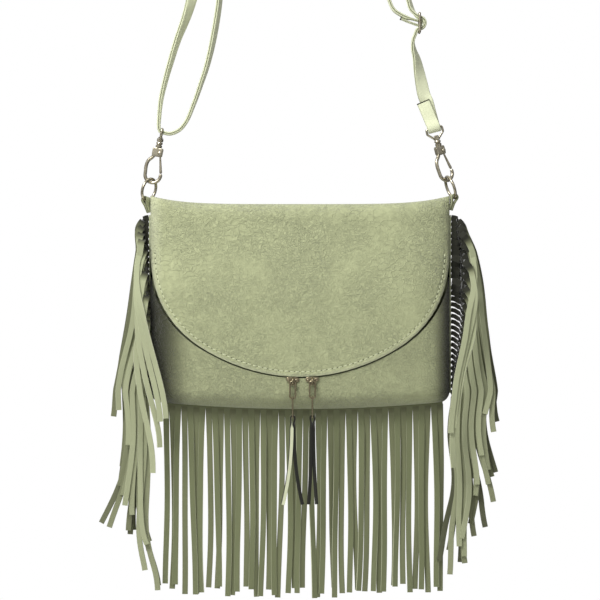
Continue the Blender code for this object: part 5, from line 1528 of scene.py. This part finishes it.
class BAG_OT_stage(bpy.types.Operator):
    """A pale floor, soft studio lights and the camera at the photograph's angle"""

    bl_idname = "bag.stage"
    bl_label = "Stage"

    def execute(self, context):
        scene = context.scene
        angle = np.linspace(0, 2 * math.pi, 96, endpoint=False)
        radius = np.array([0.0005, 0.2, 0.42])[:, None]
        floor_z = CAD_BOUNDS[0][2] - FLOOR_DROP
        disc = np.stack([radius * np.cos(angle), radius * np.sin(angle), np.full((3, 96), floor_z)], -1)
        flat, faces, _ = surface(disc[::-1], around=True)
        mesh = bpy.data.meshes.new("floor")
        mesh.from_pydata([tuple(p) for p in flat], [], [tuple(map(int, f)) for f in np.vstack(faces)])
        made, tree, shader, place = new_material("pale_floor")
        tone = mix(tree, noise(tree, place, 14.0)["Fac"], (0.86, 0.86, 0.85, 1), (0.9, 0.9, 0.89, 1))
        tree.links.new(tone, shader.inputs["Base Color"])
        shader.inputs["Roughness"].default_value = 0.8
        mesh.materials.append(made)
        floor = bpy.data.objects.new("floor", mesh)
        scene.collection.objects.link(floor)

        world = bpy.data.worlds.new("studio")
        scene.world = world
        world.use_nodes = True
        tree = world.node_tree
        light = tree.nodes["Background"]
        towards = tree.nodes.new("ShaderNodeTexCoord").outputs["Generated"]
        facing = node(tree, "ShaderNodeVectorMath", {0: towards, 1: SKY_HEADING}, operation="DOT_PRODUCT")
        glow = mapped(tree, facing.outputs["Value"], -0.6, 0.9, 0.10, 1.25)
        tree.links.new(mix(tree, glow, (0.0, 0.0, 0.0, 1.0), (1.0, 1.0, 1.0, 1.0)), light.inputs["Color"])
        light.inputs["Strength"].default_value = context.scene.bag_light.surround
        seen = node(tree, "ShaderNodeBackground", {"Color": (1.0, 1.0, 1.0, 1.0), "Strength": 1.0})
        path = tree.nodes.new("ShaderNodeLightPath")
        both = node(tree, "ShaderNodeMixShader",
                    {0: path.outputs["Is Camera Ray"], 1: light.outputs[0], 2: seen.outputs[0]})
        tree.links.new(both.outputs[0], tree.nodes["World Output"].inputs["Surface"])

        middle = np.array([0.0, 0.0, VIEW_TOP - PICTURE * PIXEL / 2])
        for name, place, size, power in (
            ("key", (-0.42, -0.62, 0.66), 0.40, scene.bag_light.key),
            ("fill", (1.3, -1.4, 0.1), 1.2, scene.bag_light.fill),
            ("top", (0.1, 0.2, 1.3), 0.9, scene.bag_light.top),
        ):
            lamp = bpy.data.lights.new(name, "AREA")
            lamp.energy = power
            lamp.size = size
            obj = bpy.data.objects.new(name, lamp)
            scene.collection.objects.link(obj)
            spot = middle + np.array(place)
            obj.location = spot
            obj.rotation_euler = Vector(middle - spot).to_track_quat("-Z", "Y").to_euler()

        camera = bpy.data.cameras.new("camera")
        camera.sensor_width = SENSOR * 1000
        camera.lens = SENSOR * 1000 * CAMERA_REACH / (PICTURE * PIXEL)
        camera.clip_end = 50
        eye = bpy.data.objects.new("camera", camera)
        scene.collection.objects.link(eye)
        eye.location = middle + (0.0, -CAMERA_REACH, 0.0)
        eye.rotation_euler = (math.radians(90), 0.0, 0.0)
        scene.camera = eye
        scene.view_settings.view_transform = "Standard"
        return {"FINISHED"}


# Add-on


def length(name, default, description):
    """A length setting."""
    return FloatProperty(name=name, default=default, min=0.0, subtype="DISTANCE", unit="LENGTH", precision=5,
                         description=description)


def colour(name, default, description):
    """A colour setting."""
    return FloatVectorProperty(name=name, default=default, size=3, min=0.0, max=1.0, subtype="COLOR",
                               description=description)


def power(name, default, description):
    """A light's strength setting."""
    return FloatProperty(name=name, default=default, min=0.0, description=description)


class BagSizes(bpy.types.PropertyGroup):
    stitch_pitch: length("Stitch Pitch", 0.0043, "From one stitch hole to the next")
    stitch_inset: length("Stitch Inset", 0.0040, "From the flap's edge to the stitches")
    thread_radius: length("Thread Radius", 0.00042, "Half the thickness of the thread")
    hollow_depth: length("Hollow Depth", 0.00045, "How far the panels' faces rise and sink")
    strand_sway: length("Strand Sway", 0.0010, "How far a strand wanders to each side")
    strand_clump: length("Strand Clump", 0.0024, "How far neighbouring bottom strands lean together")
    strand_curl: length("Strand Curl", 0.0100, "How far a strand's end curls away")
    strand_twist: FloatProperty(name="Strand Twist", default=0.55, subtype="ANGLE", unit="ROTATION",
                                description="The most that a strand turns about its own line")


class BagColours(bpy.types.PropertyGroup):
    panel: colour("Panels", (0.378, 0.402, 0.228), "Suede of the pouch")
    strap: colour("Strap", (0.74, 0.77, 0.53), "Suede of the strap and the tabs")
    strap_edge: colour("Strap Edge", (0.19, 0.20, 0.11), "The join between the strap's layers")
    fringe: colour("Fringe", (0.36, 0.385, 0.235), "Suede of the side strands")
    # A darker copy of the fringe suede: painted shade on the strands below the pouch
    shaded_fringe: colour("Bottom Fringe", (0.152, 0.168, 0.086), "Suede of the bottom strands")
    # Also the colour that painted shade darkens towards, on the panels and the fringe
    raw_edge_and_shade: colour("Raw Edge", (0.17, 0.18, 0.10), "Cut edges of the suede")
    dark_edge: colour("Dark Edge", (0.030, 0.030, 0.018), "Inked edges of the tabs and the strap's ends")
    thread: colour("Thread", (0.58, 0.61, 0.40), "Stitching")
    hole: colour("Stitch Hole", (0.035, 0.04, 0.02), "Shade in the stitch holes")
    tape: colour("Zip Tape", (0.10, 0.11, 0.06), "Woven tape")
    coil: colour("Zip Coil", (0.05, 0.05, 0.035), "Coil of the zip")
    brass: colour("Brass", (0.70, 0.65, 0.50), "Worn metal")
    dull_brass: colour("Dull Brass", (0.36, 0.31, 0.20), "Metal of the zip pulls")
    tarnish: colour("Tarnish", (0.16, 0.135, 0.085), "Darkened metal")


class BagLight(bpy.types.PropertyGroup):
    surround: power("Surround", 0.62, "Strength of the light from all round")
    key: power("Key", 9.5, "Power of the light from the upper left")
    fill: power("Fill", 1.5, "Power of the light from the right")
    top: power("Top", 2.5, "Power of the light from above")


OPERATORS = (BAG_OT_panels, BAG_OT_zip, BAG_OT_pulls, BAG_OT_hooks, BAG_OT_strap, BAG_OT_fringe, BAG_OT_stage)


class VIEW3D_PT_bag(bpy.types.Panel):
    bl_label = "Fringed Suede Bag"
    bl_space_type = "VIEW_3D"
    bl_region_type = "UI"
    bl_category = "Bag"

    def draw(self, context):
        layout = self.layout
        for holder in (context.scene.bag_sizes, context.scene.bag_colours, context.scene.bag_light):
            for key in holder.__annotations__:
                layout.prop(holder, key)
        for operator in OPERATORS:
            layout.operator(operator.bl_idname)


GROUPS = {"bag_sizes": BagSizes, "bag_colours": BagColours, "bag_light": BagLight}
CLASSES = (*GROUPS.values(), *OPERATORS, VIEW3D_PT_bag)


def register():
    for item in CLASSES:
        bpy.utils.register_class(item)
    for name, holder in GROUPS.items():
        setattr(bpy.types.Scene, name, PointerProperty(type=holder))


def unregister():
    for name in GROUPS:
        delattr(bpy.types.Scene, name)
    for item in reversed(CLASSES):
        bpy.utils.unregister_class(item)


def main():
    register()
    for operator in OPERATORS:
        group_name, name = operator.bl_idname.split(".")
        getattr(getattr(bpy.ops, group_name), name)()


if __name__ == "__main__":
    main()
